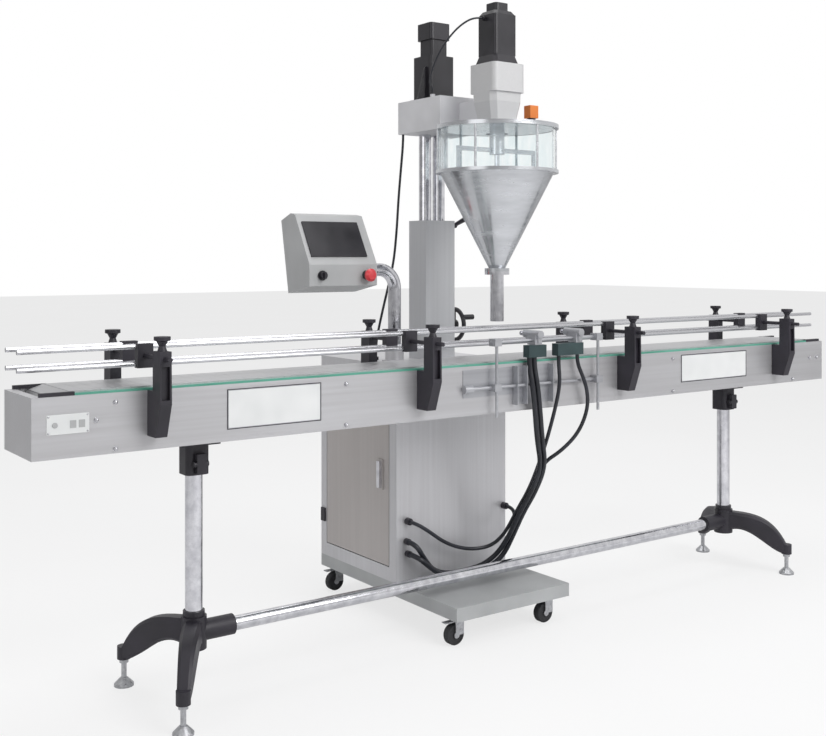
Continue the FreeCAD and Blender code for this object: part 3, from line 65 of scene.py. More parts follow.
# %% Camera
SENSOR_MM, LENS_MM, LENS_SHIFT = 36.0, 48.75, -0.1347
CAMERA_PLACE = (-2.278, -2.893, 1.1417)
CAMERA_HEADING = -35.66

lens = bpy.data.cameras.new("lens")
lens.sensor_width = SENSOR_MM
lens.lens = LENS_MM
lens.shift_y = LENS_SHIFT
camera = bpy.data.objects.new("camera", lens)
camera.location = CAMERA_PLACE
camera.rotation_euler = (math.radians(90), 0, math.radians(CAMERA_HEADING))
bpy.context.scene.collection.objects.link(camera)
bpy.context.scene.camera = camera
bpy.context.scene.view_settings.view_transform = "Standard"
print("camera", tuple(round(v, 3) for v in camera.location))

# %% [markdown]
# ## A language for finishes
# Every finish is a small node tree: a Principled shader whose colour, roughness and bump are
# stirred by noise. Noise that is stretched along one axis reads as brushing, and fine even
# noise reads as blasting, orange peel or moulded grain. The helpers say that in a few words.
# Colours are given as they look on a screen and turned into light values once, in `tone`.

# %% Finish helpers


def tone(red, green, blue):
    """A screen colour, 0 to 255, as the linear light that a shader wants."""
    shares = [channel / 255 for channel in (red, green, blue)]
    return (*(((s + 0.055) / 1.055) ** 2.4 if s > 0.04 else s / 12.92 for s in shares), 1.0)


def blank_finish(name):
    """A new material with one Principled shader, ready for its nodes."""
    material = bpy.data.materials.new(name)
    material.use_nodes = True
    tree = material.node_tree
    tree.nodes.clear()
    shader = tree.nodes.new("ShaderNodeBsdfPrincipled")
    output = tree.nodes.new("ShaderNodeOutputMaterial")
    tree.links.new(shader.outputs["BSDF"], output.inputs["Surface"])
    return material, tree, shader


def grain(tree, scale, stretch=(1, 1, 1), detail=3.0, rough=0.5):
    """Noise on the piece's own coordinates. A small stretch number draws it out that way."""
    place = tree.nodes.new("ShaderNodeTexCoord")
    turn = tree.nodes.new("ShaderNodeMapping")
    turn.inputs["Scale"].default_value = stretch
    noise = tree.nodes.new("ShaderNodeTexNoise")
    noise.inputs["Scale"].default_value = scale
    noise.inputs["Detail"].default_value = detail
    noise.inputs["Roughness"].default_value = rough
    tree.links.new(place.outputs["Object"], turn.inputs["Vector"])
    tree.links.new(turn.outputs["Vector"], noise.inputs["Vector"])
    return noise.outputs["Fac"]


def spread(tree, source, low, high, start=0.3, end=0.7):
    """Maps noise, which keeps near its middle, onto a wanted range."""
    node = tree.nodes.new("ShaderNodeMapRange")
    ends = {"From Min": start, "From Max": end, "To Min": low, "To Max": high}
    for socket, value in ends.items():
        node.inputs[socket].default_value = value
    tree.links.new(source, node.inputs["Value"])
    return node.outputs["Result"]


def tinted(tree, source, dark, light):
    """Two colours mixed by a source."""
    node = tree.nodes.new("ShaderNodeMix")
    node.data_type = "RGBA"
    node.inputs["A"].default_value = dark
    node.inputs["B"].default_value = light
    tree.links.new(spread(tree, source, 0, 1), node.inputs["Factor"])
    return node.outputs["Result"]


def relief(tree, shader, source, depth, strength=0.4):
    """Bump of a depth in metres."""
    node = tree.nodes.new("ShaderNodeBump")
    node.inputs["Strength"].default_value = strength
    node.inputs["Distance"].default_value = depth
    tree.links.new(source, node.inputs["Height"])
    tree.links.new(node.outputs["Normal"], shader.inputs["Normal"])


# %% [markdown]
# ## Sheet metal
# Stainless sheet comes off the roll with a fine brushed grain that runs one way, so the grain
# is noise stretched fifty times along the direction of rolling. Long faint clouds over it are
# the oil-film marks and flatness waves that real panels show. The metal isn't fully metallic
# here: brushed sheet scatters so much light that part of it behaves like a pale paint.

# %% Sheet, turned and cast metal
CLOUD_SCALE, CLOUD_SHARE, BRUSH_DEPTH = 3.2, 0.55, 0.00012


def sheet_metal(name, dark, light, stretch, metal=0.55, rough=(0.34, 0.5), scale=90.0):
    """Brushed sheet. The stretch has a small number along the way the grain runs."""
    material, tree, shader = blank_finish(name)
    lines = grain(tree, scale, stretch, 4.0, 0.6)
    clouds = grain(tree, CLOUD_SCALE, tuple(0.25 + 0.75 * v for v in stretch), 2.0)
    both = tree.nodes.new("ShaderNodeMix")
    both.inputs["Factor"].default_value = CLOUD_SHARE
    tree.links.new(lines, both.inputs["A"])
    tree.links.new(clouds, both.inputs["B"])
    tree.links.new(tinted(tree, both.outputs["Result"], dark, light), shader.inputs["Base Color"])
    tree.links.new(spread(tree, lines, *rough), shader.inputs["Roughness"])
    shader.inputs["Metallic"].default_value = metal
    relief(tree, shader, lines, BRUSH_DEPTH, 0.25)
    return material


ALONG_X, ALONG_Y, ALONG_Z = (0.02, 1, 1), (1, 0.02, 1), (1, 1, 0.02)
AROUND = (1, 1, 6)
shell_steel = sheet_metal("brushed_shell", tone(186, 185, 187), tone(206, 206, 209), ALONG_X)
cabinet_steel = sheet_metal("brushed_cabinet", tone(196, 195, 198), tone(216, 216, 219), ALONG_Z)
door_steel = sheet_metal("door_sheet", tone(180, 175, 173), tone(198, 193, 191), ALONG_Z, 0.35)
column_steel = sheet_metal("brushed_column", tone(196, 197, 200), tone(214, 215, 218), ALONG_Z)
bracket_steel = sheet_metal("bracket_sheet", tone(172, 173, 178), tone(200, 201, 205), ALONG_X,
                            metal=0.7, rough=(0.28, 0.42))
hopper_steel = sheet_metal("spun_cone", tone(188, 190, 194), tone(224, 226, 230), AROUND,
                           metal=0.85, rough=(0.16, 0.3), scale=14.0)
rail_steel = sheet_metal("drawn_rail", tone(188, 188, 192), tone(224, 224, 228), ALONG_X,
                         metal=0.85, rough=(0.18, 0.3))
chain_steel = sheet_metal("rolled_slat", tone(176, 176, 178), tone(204, 204, 206), ALONG_Y,
                          metal=0.6, rough=(0.3, 0.5), scale=60.0)
print("sheet finishes made")


def plain_metal(name, dark, light, metal, rough, scale, depth):
    """Metal without a direction: plated, cast, blasted or polished."""
    material, tree, shader = blank_finish(name)
    speckle = grain(tree, scale, (1, 1, 1), 5.0, 0.6)
    tree.links.new(tinted(tree, speckle, dark, light), shader.inputs["Base Color"])
    tree.links.new(spread(tree, speckle, *rough), shader.inputs["Roughness"])
    shader.inputs["Metallic"].default_value = metal
    relief(tree, shader, speckle, depth, 0.3)
    return material


chrome = plain_metal("polished_tube", tone(196, 196, 202), tone(234, 234, 238),
                     metal=1.0, rough=(0.07, 0.16), scale=40.0, depth=0.00002)
zinc = plain_metal("zinc_plate", tone(168, 169, 173), tone(204, 205, 208),
                   metal=0.8, rough=(0.25, 0.45), scale=120.0, depth=0.00006)
bright_bolt = plain_metal("bright_fastener", tone(178, 178, 182), tone(226, 226, 230),
                          metal=0.9, rough=(0.14, 0.28), scale=300.0, depth=0.00003)
blasted = plain_metal("blasted_casing", tone(196, 196, 197), tone(214, 214, 215),
                      metal=0.25, rough=(0.5, 0.68), scale=700.0, depth=0.0001)
print("plain metals made")

# %% [markdown]
# ## Mouldings, paint, rubber and clear plastic
# Black mouldings are never quite black: glass-filled nylon carries a fine grain that catches
# light, and worn edges are paler. Satin paint shows orange peel, a soft bump half a millimetre
# wide. Acrylic is clear with a faint cool edge, so it transmits light and keeps a low roughness.

# %% Plastics and paints


def moulding(name, dark, light, rough=(0.38, 0.55), scale=900.0, depth=0.00008, coat=0.0):
    """Plastic, paint or rubber with an even grain and slow changes of tone."""
    material, tree, shader = blank_finish(name)
    fine = grain(tree, scale, (1, 1, 1), 3.0)
    slow = grain(tree, 9.0, (1, 1, 1), 2.0)
    tree.links.new(tinted(tree, slow, dark, light), shader.inputs["Base Color"])
    tree.links.new(spread(tree, slow, *rough), shader.inputs["Roughness"])
    shader.inputs["Coat Weight"].default_value = coat
    relief(tree, shader, fine, depth, 0.35)
    return material


black_nylon = moulding("black_nylon", tone(34, 32, 39), tone(50, 47, 56))
black_paint = moulding("black_paint", tone(26, 25, 30), tone(42, 40, 46),
                       (0.3, 0.45), 500.0, 0.00005, coat=0.15)
grey_paint = moulding("grey_paint", tone(176, 177, 178), tone(186, 187, 188),
                      (0.4, 0.5), 420.0, 0.00006)
platform_paint = moulding("platform_paint", tone(172, 174, 175), tone(184, 186, 187),
                          (0.42, 0.55), 380.0, 0.00008)
head_paint = moulding("head_paint", tone(206, 206, 209), tone(222, 222, 225),
                      (0.35, 0.48), 420.0, 0.00006)
hose_rubber = moulding("hose_rubber", tone(26, 28, 34), tone(44, 46, 54),
                       (0.3, 0.42), 260.0, 0.00006)
tyre_rubber = moulding("tyre_rubber", tone(34, 34, 36), tone(52, 52, 55),
                       (0.55, 0.7), 600.0, 0.0001)
green_strip = moulding("green_strip", tone(78, 150, 130), tone(104, 176, 156),
                       (0.3, 0.42), 300.0, 0.00004)
white_plastic = moulding("white_plastic", tone(224, 226, 226), tone(236, 238, 238),
                         (0.35, 0.45), 500.0, 0.00003)
label_white = moulding("blank_label", tone(228, 230, 230), tone(240, 241, 241),
                       (0.4, 0.5), 800.0, 0.00002)
valve_green = moulding("dark_green_block", tone(40, 58, 60), tone(58, 78, 80),
                       (0.35, 0.5), 500.0, 0.00005)
stop_red = moulding("stop_red", tone(206, 46, 56), tone(226, 66, 74),
                    (0.25, 0.36), 300.0, 0.00003, coat=0.4)
sensor_orange = moulding("sensor_orange", tone(214, 112, 44), tone(232, 134, 62),
                         (0.35, 0.45), 500.0, 0.00003)
print("plastics made")

# %% Clear acrylic
ACRYLIC_IOR = 1.2


def clear_plastic(name, colour, rough):
    """Acrylic: light goes through, and fine handling marks scatter a little of it."""
    material, tree, shader = blank_finish(name)
    marks = grain(tree, 60.0, (1, 1, 0.3), 4.0)
    tree.links.new(tinted(tree, marks, colour, tone(250, 252, 252)), shader.inputs["Base Color"])
    tree.links.new(spread(tree, marks, rough, rough + 0.05), shader.inputs["Roughness"])
    shader.inputs["Transmission Weight"].default_value = 1.0
    shader.inputs["IOR"].default_value = ACRYLIC_IOR
    return material


acrylic = clear_plastic("clear_acrylic", tone(240, 246, 247), 0.02)
print("clear finishes made")

# %% [markdown]
# ## Dress the solids
# Each CAD solid keeps its own mesh and gets a finish. Where one solid is made of two
# materials, such as a valve block under a steel cylinder, we choose faces by where they sit.

# %% Dress the solids


def dress(node, finish, *others):
    """Gives a solid its finish. Others are (finish, test of a face's centre in mm)."""
    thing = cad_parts[node]
    thing.data.materials.clear()
    thing.data.materials.append(finish)
    for index, (other, test) in enumerate(others, 1):
        thing.data.materials.append(other)
        for face in thing.data.polygons:
            if test(face.center / MM):
                face.material_index = index


finishes = [
    (shell_steel, "conveyor_shell"), (green_strip, "wear_strips"), (chain_steel, "slat_chain"),
    (rail_steel, "front_rails rear_rails"), (bracket_steel, "gate_frame"),
    (cabinet_steel, "cabinet_panels"), (door_steel, "cabinet_door"), (column_steel, "column"),
    (hopper_steel, "hopper_lid hopper_cone agitator"), (blasted, "gear_casing"),
    (platform_paint, "platform"), (head_paint, "head_box"), (grey_paint, "panel_box"),
    (acrylic, "hopper_barrel"), (stop_red, "stop_button"),
    (zinc, "drive_sprocket idler_sprocket frame_members levelling_feet electrical_panel"),
    (black_paint, "drive_gearmotor handwheel stirrer_motor servo_motor panel_fittings"),
    (black_nylon, "end_shoes guide_brackets front_rail_clamps rear_rail_clamps stand_castings "
                  "clamp_lever selector cabinet_glands"),
    (chrome, "stand_tubes door_handle guide_posts dosing_tube auger panel_arm "
             "gate_piston_left gate_piston_right"),
]
for finish, nodes in finishes:
    for node in nodes.split():
        dress(node, finish)
for number in range(1, 5):
    dress(f"caster_fork_{number}", zinc)
    dress(f"caster_wheel_{number}", tyre_rubber)
SENSOR_SOCKET_MM, VALVE_BLOCK_MM = 33.5, 37.5
sensor_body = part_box("level_sensor")[0].z / MM + SENSOR_SOCKET_MM
dress("level_sensor", sensor_orange, (black_nylon, lambda c: c.z < sensor_body))
valve_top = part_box("gate_cylinders")[0].z / MM + VALVE_BLOCK_MM
dress("gate_cylinders", bracket_steel, (valve_green, lambda c: c.z < valve_top))
print("dressed", len([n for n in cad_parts.values() if n.data.materials]), "solids")

# %% [markdown]
# ## Making and fixing pieces
# A piece is a mesh whose points are already where they belong, with its object at the origin.
# `finish_piece` does the bookkeeping: it gives the finish and makes the piece ride on a body of the
# machine.

# %% Piece helpers
SHARP_EDGE = math.radians(35)


def finish_piece(name, mesh, body, finish, smooth=False):
    """Links a mesh as a piece of the machine that rides on a body."""
    mesh.materials.clear()
    mesh.materials.append(finish)
    if smooth:
        mesh.polygons.foreach_set("use_smooth", [True] * len(mesh.polygons))
        mesh.set_sharp_from_angle(angle=SHARP_EDGE)
    thing = bpy.data.objects.new(name, mesh)
    bpy.context.scene.collection.objects.link(thing)
    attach(thing, body)
    return thing


def meshed(name, bm):
    """Closes a bmesh into a mesh with its faces turned outwards."""
    bmesh.ops.remove_doubles(bm, verts=bm.verts, dist=1e-6)
    bmesh.ops.recalc_face_normals(bm, faces=bm.faces)
    mesh = bpy.data.meshes.new(name)
    bm.to_mesh(mesh)
    bm.free()
    return mesh


def add_block(bm, low, high, edge):
    """A box from corner to corner in mm, with its edges eased."""
    low, high = Vector(low) * MM, Vector(high) * MM
    made = bmesh.ops.create_cube(bm, size=1)["verts"]
    bmesh.ops.scale(bm, vec=high - low, verts=made)
    sides = list({e for v in made for e in v.link_edges})
    made = bmesh.ops.bevel(bm, geom=sides, offset=edge * MM, segments=2, affect="EDGES",
                           profile=0.5)["verts"]
    bmesh.ops.translate(bm, vec=(low + high) / 2, verts=made)


def add_turned(bm, profile, centre, axis, sides=32):
    """A turned shape: profile of (radius, height) in mm, spun about an axis through centre."""
    across = Vector(axis).normalized()
    tilt = Vector((0, 0, 1)).rotation_difference(across).to_matrix()
    rings = []
    for radius, height in profile:
        ring = []
        for step in range(sides if radius > 0 else 1):
            angle = math.tau * step / sides
            point = Vector((radius * math.cos(angle), radius * math.sin(angle), height))
            ring.append(bm.verts.new((tilt @ point + Vector(centre)) * MM))
        rings.append(ring)
    for below, above in zip(rings, rings[1:]):
        for step in range(sides):
            after = (step + 1) % sides
            quad = [below[step % len(below)], below[after % len(below)],
                    above[after % len(above)], above[step % len(above)]]
            corners = list(dict.fromkeys(quad))
            if len(corners) > 2:
                bm.faces.new(corners)
    for ring in (rings[0], rings[-1]):
        if len(ring) > 2:
            bm.faces.new(ring)


def blocks(name, body, finish, boxes, edge=0.6):
    """One piece made of eased blocks."""
    bm = bmesh.new()
    for low, high in boxes:
        add_block(bm, low, high, edge)
    return finish_piece(name, meshed(name, bm), body, finish)


def lathe(name, body, finish, turned, sides=32):
    """One piece made of turned shapes: a list of (profile, centre, axis)."""
    bm = bmesh.new()
    for profile, centre, axis in turned:
        add_turned(bm, profile, centre, axis, sides)
    return finish_piece(name, meshed(name, bm), body, finish, smooth=True)


print("helpers ready")

# %% [markdown]
# ## Cords
# Air hoses and cables are smooth curves through listed points, from a fitting down
# through a loose bundle to their glands. A NURBS curve of order three bends as a hose does, with
# no flat spots, and a bevel gives it its thickness. A cord keeps one length.

# %% Cord routes
hose_routes = {
    "air_hose_main": (8, [(-9, -338, 836), (-9, -338, 808), (-7, -349, 755), (4, -347, 690),
                          (36, -322, 580), (95.5, -276, 484), (91.5, -234, 397), (81.5, -186, 322),
                          (73.5, -146, 242), (55, -105, 175), (10, -74, 138), (-60, -58, 130),
                          (-115, -54, 131), (-170, -58, 154), (-212, -72, 200), (-247, -78, 248),
                          (-247, -42, 248)]),
    "air_hose_second": (8, [(10, -338, 836), (10, -338, 808), (13, -349, 755), (24, -347, 690),
                            (57, -322, 580), (112.5, -276, 484), (108.5, -234, 397), (98.5, -186, 322),
                            (90.5, -146, 242), (75, -118, 175), (30, -99, 137), (-40, -90, 130),
                            (-100, -86, 131), (-160, -86, 143), (-205, -90, 176), (-243, -84, 209),
                            (-243, -42, 209)]),
    "air_hose_middle": (6, [(111, -338, 836), (111, -338, 808), (108, -348, 755), (97, -344, 690),
                            (93, -308, 580), (97, -263, 490), (93, -221, 403), (83, -173, 328),
                            (72, -130, 250), (50, -92, 205), (0, -72, 196), (-60, -64, 206),
                            (-125, -62, 234), (-190, -66, 280), (-243, -80, 311), (-243, -42, 311)]),
    "air_hose_right": (6, [(190, -338, 836), (190, -338, 808), (206, -348, 765), (228, -346, 715),
                           (236, -337, 655), (214, -320, 585), (165, -296, 530), (111, -263, 490),
                           (107, -221, 403), (97, -173, 328), (100, -128, 262), (121, -100, 238),
                           (143, -90, 264), (151, -84, 310), (151, -42, 310)]),
}
servo_route = (3, [(-87.5, -205, 1880), (-104, -205, 1880), (-130, -190, 1872), (-150, -150, 1845),
                   (-165, -100, 1795), (-163, -50, 1740), (-145, -10, 1700), (-118, 8, 1690),
                   (-118, 8, 1667)])
head_route = (4, [(-128, 160, 1549), (-128, 160, 1520), (-133, 165, 1440), (-140, 170, 1335),
                  (-146, 172, 1225), (-157, 175, 1115), (-187, 178, 1005), (-213, 178, 910),
                  (-225, 178, 855), (-225, 178, 812)])


def smooth_line(points, steps=14):
    """Points along the clamped quadratic spline of a route, the curve that a cord follows."""
    points = [Vector(p) for p in points]
    line = []
    for index in range(len(points) - 2):
        start = points[index] if index == 0 else (points[index] + points[index + 1]) / 2
        middle, last = points[index + 1], index == len(points) - 3
        end = points[-1] if last else (middle + points[index + 2]) / 2
        for step in range(steps):
            t = step / steps
            line.append(start * (1 - t) ** 2 + middle * 2 * t * (1 - t) + end * t ** 2)
    return line + [points[-1]]


def hose(node, body, radius, points, finish, stiffness):
    """A cord as a bevelled NURBS curve that stands for its CAD node."""
    curve = bpy.data.curves.new(node + "_curve", "CURVE")
    curve.dimensions = "3D"
    curve.bevel_depth = radius * MM
    curve.bevel_resolution = 4
    curve.use_fill_caps = True
    spline = curve.splines.new("NURBS")
    spline.points.add(len(points) - 1)
    for point, place in zip(spline.points, points):
        point.co = (*(v * MM for v in place), 1)
    spline.order_u = 3
    spline.use_endpoint_u = True
    spline.resolution_u = 8
    curve.materials.append(finish)
    thing = bpy.data.objects.new(node + "_cord", curve)
    bpy.context.scene.collection.objects.link(thing)
    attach(thing, body)
    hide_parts(node)
    return thing


for node, (radius, points) in hose_routes.items():
    hose(node, "machine", radius, points, hose_rubber, "medium")
hose("servo_cable", "head", *servo_route, hose_rubber, "medium")

# %% [markdown]
# ## The head's cable
# This cable hangs from the head box to the cabinet, and the head rides up and down. Here it is a
# mesh tube along a smooth line through its route, fixed in place.

# %% Head cable


def tube_mesh(name, line, radius, sides=10):
    """A tube about a line, with a frame that turns as little as it can from ring to ring."""
    bm = bmesh.new()
    side = Vector((1, 0, 0))
    rings = []
    for index, centre in enumerate(line):
        before, after = line[max(index - 1, 0)], line[min(index + 1, len(line) - 1)]
        ahead = (after - before).normalized()
        side = (side - ahead * side.dot(ahead)).normalized()
        up = ahead.cross(side)
        around = [math.tau * s / sides for s in range(sides)]
        spokes = [side * math.cos(a) + up * math.sin(a) for a in around]
        rings.append([bm.verts.new((centre + spoke * radius) * MM) for spoke in spokes])
    for below, above in zip(rings, rings[1:]):
        for s in range(sides):
            bm.faces.new((below[s], below[(s + 1) % sides], above[(s + 1) % sides], above[s]))
    bm.faces.new(rings[0])
    bm.faces.new(rings[-1])
    return meshed(name, bm)


head_radius, head_points = head_route
head_line = smooth_line(head_points, 8)
cable_mesh = tube_mesh("head_cable_tube", head_line, head_radius)
cable_mesh.materials.append(hose_rubber)
cable_mesh.polygons.foreach_set("use_smooth", [True] * len(cable_mesh.polygons))
head_cable = bpy.data.objects.new("head_cable_cord", cable_mesh)
bpy.context.scene.collection.objects.link(head_cable)
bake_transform(head_cable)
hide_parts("head_cable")

# %% [markdown]
# ## Fasteners as a point cloud
# A machine like this has dozens of identical bolts. Geometry Nodes place one head on every point
# of a small mesh, so a row of bolts is only a list of places. The head is a hexagon with a dome or
# a washer under it. The tree has named inputs for its sizes, and it ends in Realize Instances and
# Set Material, because an export keeps plain meshes and drops instances.

# %% Fastener tree


def new_tree(name, inputs):
    """A Geometry Nodes tree with a geometry input, named number inputs and a geometry output."""
    tree = bpy.data.node_groups.new(name, "GeometryNodeTree")
    tree.interface.new_socket("Geometry", in_out="INPUT", socket_type="NodeSocketGeometry")
    for label, kind, value in inputs:
        socket = tree.interface.new_socket(label, in_out="INPUT", socket_type=kind)
        if value is not None:
            socket.default_value = value
    tree.interface.new_socket("Geometry", in_out="OUTPUT", socket_type="NodeSocketGeometry")
    return tree, tree.nodes.new("NodeGroupInput"), tree.nodes.new("NodeGroupOutput")


def link_all(tree, pairs):
    """Joins sockets given as (node, name, node, name)."""
    for source, out_name, target, in_name in pairs:
        tree.links.new(source.outputs[out_name], target.inputs[in_name])


def multiplier(tree, factor=1.0):
    """A node that multiplies its first input by a factor."""
    node = tree.nodes.new("ShaderNodeMath")
    node.operation = "MULTIPLY"
    node.inputs[1].default_value = factor
    return node


def fastener_tree():
    """A hexagon on a washer, topped by a dome, on every point of the mesh."""
    tree, given, result = new_tree("fasteners", [
        ("Radius", "NodeSocketFloat", 0.006), ("Height", "NodeSocketFloat", 0.006),
        ("Sides", "NodeSocketInt", 6), ("Dome", "NodeSocketFloat", 0.6),
        ("Facing", "NodeSocketVector", (0.0, 0.0, 0.0)), ("Finish", "NodeSocketMaterial", None)])
    head, washer = (tree.nodes.new("GeometryNodeMeshCylinder") for _ in range(2))
    washer.inputs["Vertices"].default_value = 20
    dome = tree.nodes.new("GeometryNodeMeshUVSphere")
    dome.inputs["Segments"].default_value = 16
    dome.inputs["Rings"].default_value = 8
    wide, thin, half = (multiplier(tree, factor) for factor in (1.25, 0.3, 0.5))
    flat, lift, raise_dome = (tree.nodes.new("ShaderNodeCombineXYZ") for _ in range(3))
    flat.inputs["X"].default_value = 0.86
    flat.inputs["Y"].default_value = 0.86
    dome_up, head_up = (tree.nodes.new("GeometryNodeTransform") for _ in range(2))
    joined = tree.nodes.new("GeometryNodeJoinGeometry")
    spots = tree.nodes.new("GeometryNodeInstanceOnPoints")
    real = tree.nodes.new("GeometryNodeRealizeInstances")
    coat = tree.nodes.new("GeometryNodeSetMaterial")
    link_all(tree, [
        (given, "Radius", head, "Radius"), (given, "Height", head, "Depth"),
        (given, "Sides", head, "Vertices"), (given, "Radius", wide, 0),
        (wide, 0, washer, "Radius"), (given, "Height", thin, 0), (thin, 0, washer, "Depth"),
        (given, "Radius", dome, "Radius"), (given, "Dome", flat, "Z"),
        (given, "Height", half, 0), (half, 0, lift, "Z"), (given, "Height", raise_dome, "Z"),
        (head, "Mesh", head_up, "Geometry"), (lift, 0, head_up, "Translation"),
        (dome, "Mesh", dome_up, "Geometry"), (raise_dome, 0, dome_up, "Translation"),
        (flat, 0, dome_up, "Scale"), (head_up, "Geometry", joined, "Geometry"),
        (dome_up, "Geometry", joined, "Geometry"), (washer, "Mesh", joined, "Geometry"),
        (given, "Geometry", spots, "Points"), (joined, "Geometry", spots, "Instance"),
        (given, "Facing", spots, "Rotation"), (spots, "Instances", real, "Geometry"),
        (real, "Geometry", coat, "Geometry"), (given, "Finish", coat, "Material"),
        (coat, "Geometry", result, "Geometry")])
    return tree


def grown(name, places, tree, values, body, finish):
    """Runs a tree over a cloud of points in mm and keeps the result as one plain mesh."""
    seed = bpy.data.meshes.new(name + "_points")
    seed.from_pydata([Vector(p) * MM for p in places], [], [])
    holder = bpy.data.objects.new(name + "_points", seed)
    bpy.context.scene.collection.objects.link(holder)
    modifier = holder.modifiers.new("grow", "NODES")
    sockets = {s.name: s.identifier for s in tree.interface.items_tree if s.in_out == "INPUT"}
    modifier.node_group = tree
    for label, value in {**values, "Finish": finish}.items():
        modifier[sockets[label]] = value
    evaluated = holder.evaluated_get(bpy.context.evaluated_depsgraph_get())
    mesh = bpy.data.meshes.new_from_object(evaluated)
    mesh.name = name
    holder.modifiers.remove(modifier)
    bpy.data.objects.remove(holder)
    print(name, len(mesh.polygons), "faces")
    return finish_piece(name, mesh, body, finish, smooth=True)


fasteners = fastener_tree()
FRONT = (math.radians(90), 0.0, 0.0)
REAR = (math.radians(-90), 0.0, 0.0)

# %% [markdown]
# ## Bolts on the conveyor's side plates
# Dome nuts hold the spacers between the side plates. They sit in pairs at four stations, and a few
# more at the ends hold the shaft bearings. The back plate has the spacers' nuts alone.

# %% Side plate nuts
shell_low, shell_high = (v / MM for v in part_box("conveyor_shell"))
plate_front, plate_back = shell_low.y, shell_high.y
spacer_nuts = [(x, z) for x in (-1302, -655, 655, 1315) for z in (685, 796)]
bearing_nuts = [(-1349, 757), (1420, 759), (1464, 760)]
plate_nut = {"Radius": 0.0055, "Height": 0.0035, "Dome": 0.7}
grown("front_plate_nuts", [(x, plate_front, z) for x, z in spacer_nuts + bearing_nuts], fasteners,
      {**plate_nut, "Facing": FRONT}, "machine", bright_bolt)
grown("rear_plate_nuts", [(x, plate_back, z) for x, z in spacer_nuts], fasteners,
      {**plate_nut, "Facing": REAR}, "machine", bright_bolt)

# %% [markdown]
# ## Bare plates on the conveyor
# Two thin nameplates and the control plate are riveted to the front. They stay unlettered: a
# pale plate with a fine frame line is what an unprinted one looks like.

# %% Bare plates
RIM_MM, FACE_INSET_MM = 2.2, 4


def bare_plate(name, left, right, bottom, top, face):
    """A thin plate with a raised frame line and a pale face, on the front side plate."""
    blocks(name, "machine", bracket_steel,
           [((left, face - 1.0, bottom), (right, face, top))], 0.4)
    edges = [((left, bottom), (right, bottom + RIM_MM)), ((left, top - RIM_MM), (right, top)),
             ((left, bottom), (left + RIM_MM, top)), ((right - RIM_MM, bottom), (right, top))]
    blocks(name + "_frame", "machine", black_nylon,
           [((a, face - 1.5, b), (c, face - 0.8, d)) for (a, b), (c, d) in edges], 0.2)
    blocks(name + "_face", "machine", label_white,
           [((left + FACE_INSET_MM, face - 1.3, bottom + FACE_INSET_MM),
             (right - FACE_INSET_MM, face - 0.9, top - FACE_INSET_MM))], 0.1)


bare_plate("name_plate_left", -1010, -734, 704, 806, plate_front)
bare_plate("name_plate_right", 697, 1045, 712, 806, plate_front)
blocks("control_plate", "machine", white_plastic,
       [((-1466, plate_front - 1.6, 731), (-1366, plate_front, 777))], 0.6)
blocks("control_windows", "machine", grey_paint,
       [((x, plate_front - 2.4, 744), (x + 15, plate_front - 1.4, 762))
        for x in (-1412, -1391)], 0.4)
grown("control_screws", [(x, plate_front - 1.6, z) for x in (-1462, -1370) for z in (735, 773)],
      fasteners, {"Radius": 0.002, "Height": 0.001, "Facing": FRONT, "Dome": 0.3, "Sides": 16},
      "machine", bright_bolt)
button_profile = [(0, 0), (6.5, 0), (6.5, 2), (5, 3.4), (0, 3.6)]
lathe("control_button", "machine", grey_paint,
      [(button_profile, (-1447, plate_front - 1.2, 753), (0, -1, 0))], 24)

# %% [markdown]
# ## Floor and light
# The floor is part of the studio. It looks white to the camera but keeps the machine's shadow.
# The lamps are large and soft, and the world that metal reflects is a little darker to the left,
# which is what turns the end faces grey.

# %% Floor
FLOOR_HALF, FLOOR_GLOW = 30, 0.72


def seen_directly(tree):
    """1 for rays straight from the camera or through clear plastic, and the light path node."""
    ray = tree.nodes.new("ShaderNodeLightPath")
    either = tree.nodes.new("ShaderNodeMath")
    either.operation = "MAXIMUM"
    tree.links.new(ray.outputs["Is Camera Ray"], either.inputs[0])
    tree.links.new(ray.outputs["Is Transmission Ray"], either.inputs[1])
    return either.outputs[0], ray


def mixed(tree, share, plain, other):
    """A shader that turns from plain to other as the share goes from 0 to 1."""
    node = tree.nodes.new("ShaderNodeMixShader")
    for source, socket in ((share, 0), (plain, 1), (other, 2)):
        tree.links.new(source, node.inputs[socket])
    return node.outputs["Shader"]


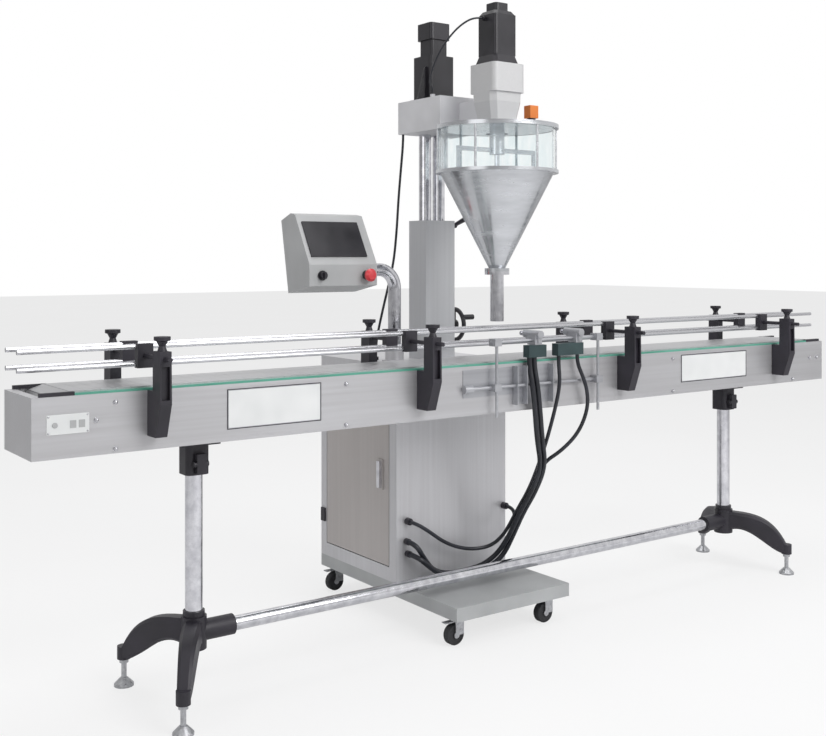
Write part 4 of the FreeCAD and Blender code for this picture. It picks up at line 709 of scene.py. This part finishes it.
bm = bmesh.new()
bmesh.ops.create_grid(bm, x_segments=8, y_segments=8, size=FLOOR_HALF)
floor = bpy.data.objects.new("studio_floor", meshed("studio_floor", bm))
bpy.context.scene.collection.objects.link(floor)
floor_paint, tree, shader = blank_finish("studio_floor")
floor_colour = tinted(tree, grain(tree, 0.8), tone(232, 232, 233), tone(238, 238, 239))
tree.links.new(floor_colour, shader.inputs["Base Color"])
shader.inputs["Roughness"].default_value = 0.9
glow = tree.nodes.new("ShaderNodeEmission")
glow.inputs["Strength"].default_value = 1.0
share = multiplier(tree, FLOOR_GLOW)
tree.links.new(seen_directly(tree)[0], share.inputs[0])
surface = mixed(tree, share.outputs[0], shader.outputs["BSDF"], glow.outputs["Emission"])
tree.links.new(surface, tree.nodes["Material Output"].inputs["Surface"])
floor.data.materials.append(floor_paint)

# %% World
FILL, BACKDROP = 0.42, 1.0
MIRROR_RAMP = {"From Min": -1.0, "From Max": 0.2, "To Min": 0.42, "To Max": 0.95}

world = bpy.data.worlds.new("studio")
bpy.context.scene.world = world
world.use_nodes = True
tree = world.node_tree
tree.nodes.clear()
output = tree.nodes.new("ShaderNodeOutputWorld")
backdrop, fill, mirror = (tree.nodes.new("ShaderNodeBackground") for _ in range(3))
for node, strength in ((backdrop, BACKDROP), (fill, FILL)):
    node.inputs["Color"].default_value = (1, 1, 1, 1)
    node.inputs["Strength"].default_value = strength
direction = tree.nodes.new("ShaderNodeTexCoord")
split = tree.nodes.new("ShaderNodeSeparateXYZ")
shade = tree.nodes.new("ShaderNodeMapRange")
for socket, value in MIRROR_RAMP.items():
    shade.inputs[socket].default_value = value
tree.links.new(direction.outputs["Generated"], split.inputs["Vector"])
tree.links.new(split.outputs["X"], shade.inputs["Value"])
tree.links.new(shade.outputs["Result"], mirror.inputs["Strength"])
direct, ray = seen_directly(tree)
lighting = mixed(tree, ray.outputs["Is Glossy Ray"],
                 fill.outputs["Background"], mirror.outputs["Background"])
tree.links.new(mixed(tree, direct, lighting, backdrop.outputs["Background"]),
               output.inputs["Surface"])

# %% Lamps


def soft_lamp(name, place, target, size, power):
    """A square area lamp that looks at a point."""
    data = bpy.data.lights.new(name, "AREA")
    data.size = size
    data.energy = power
    lamp = bpy.data.objects.new(name, data)
    lamp.location = place
    lamp.rotation_euler = (Vector(target) - Vector(place)).to_track_quat("-Z", "Y").to_euler()
    bpy.context.scene.collection.objects.link(lamp)


MACHINE_MIDDLE = (0, 0, 0.8)
soft_lamp("key", (0.8, -4.2, 3.6), MACHINE_MIDDLE, 3.0, 130)
soft_lamp("top", (0.0, 0.4, 4.6), MACHINE_MIDDLE, 3.5, 70)
soft_lamp("side", (-4.2, -1.2, 2.4), MACHINE_MIDDLE, 2.5, 22)
print("lit")
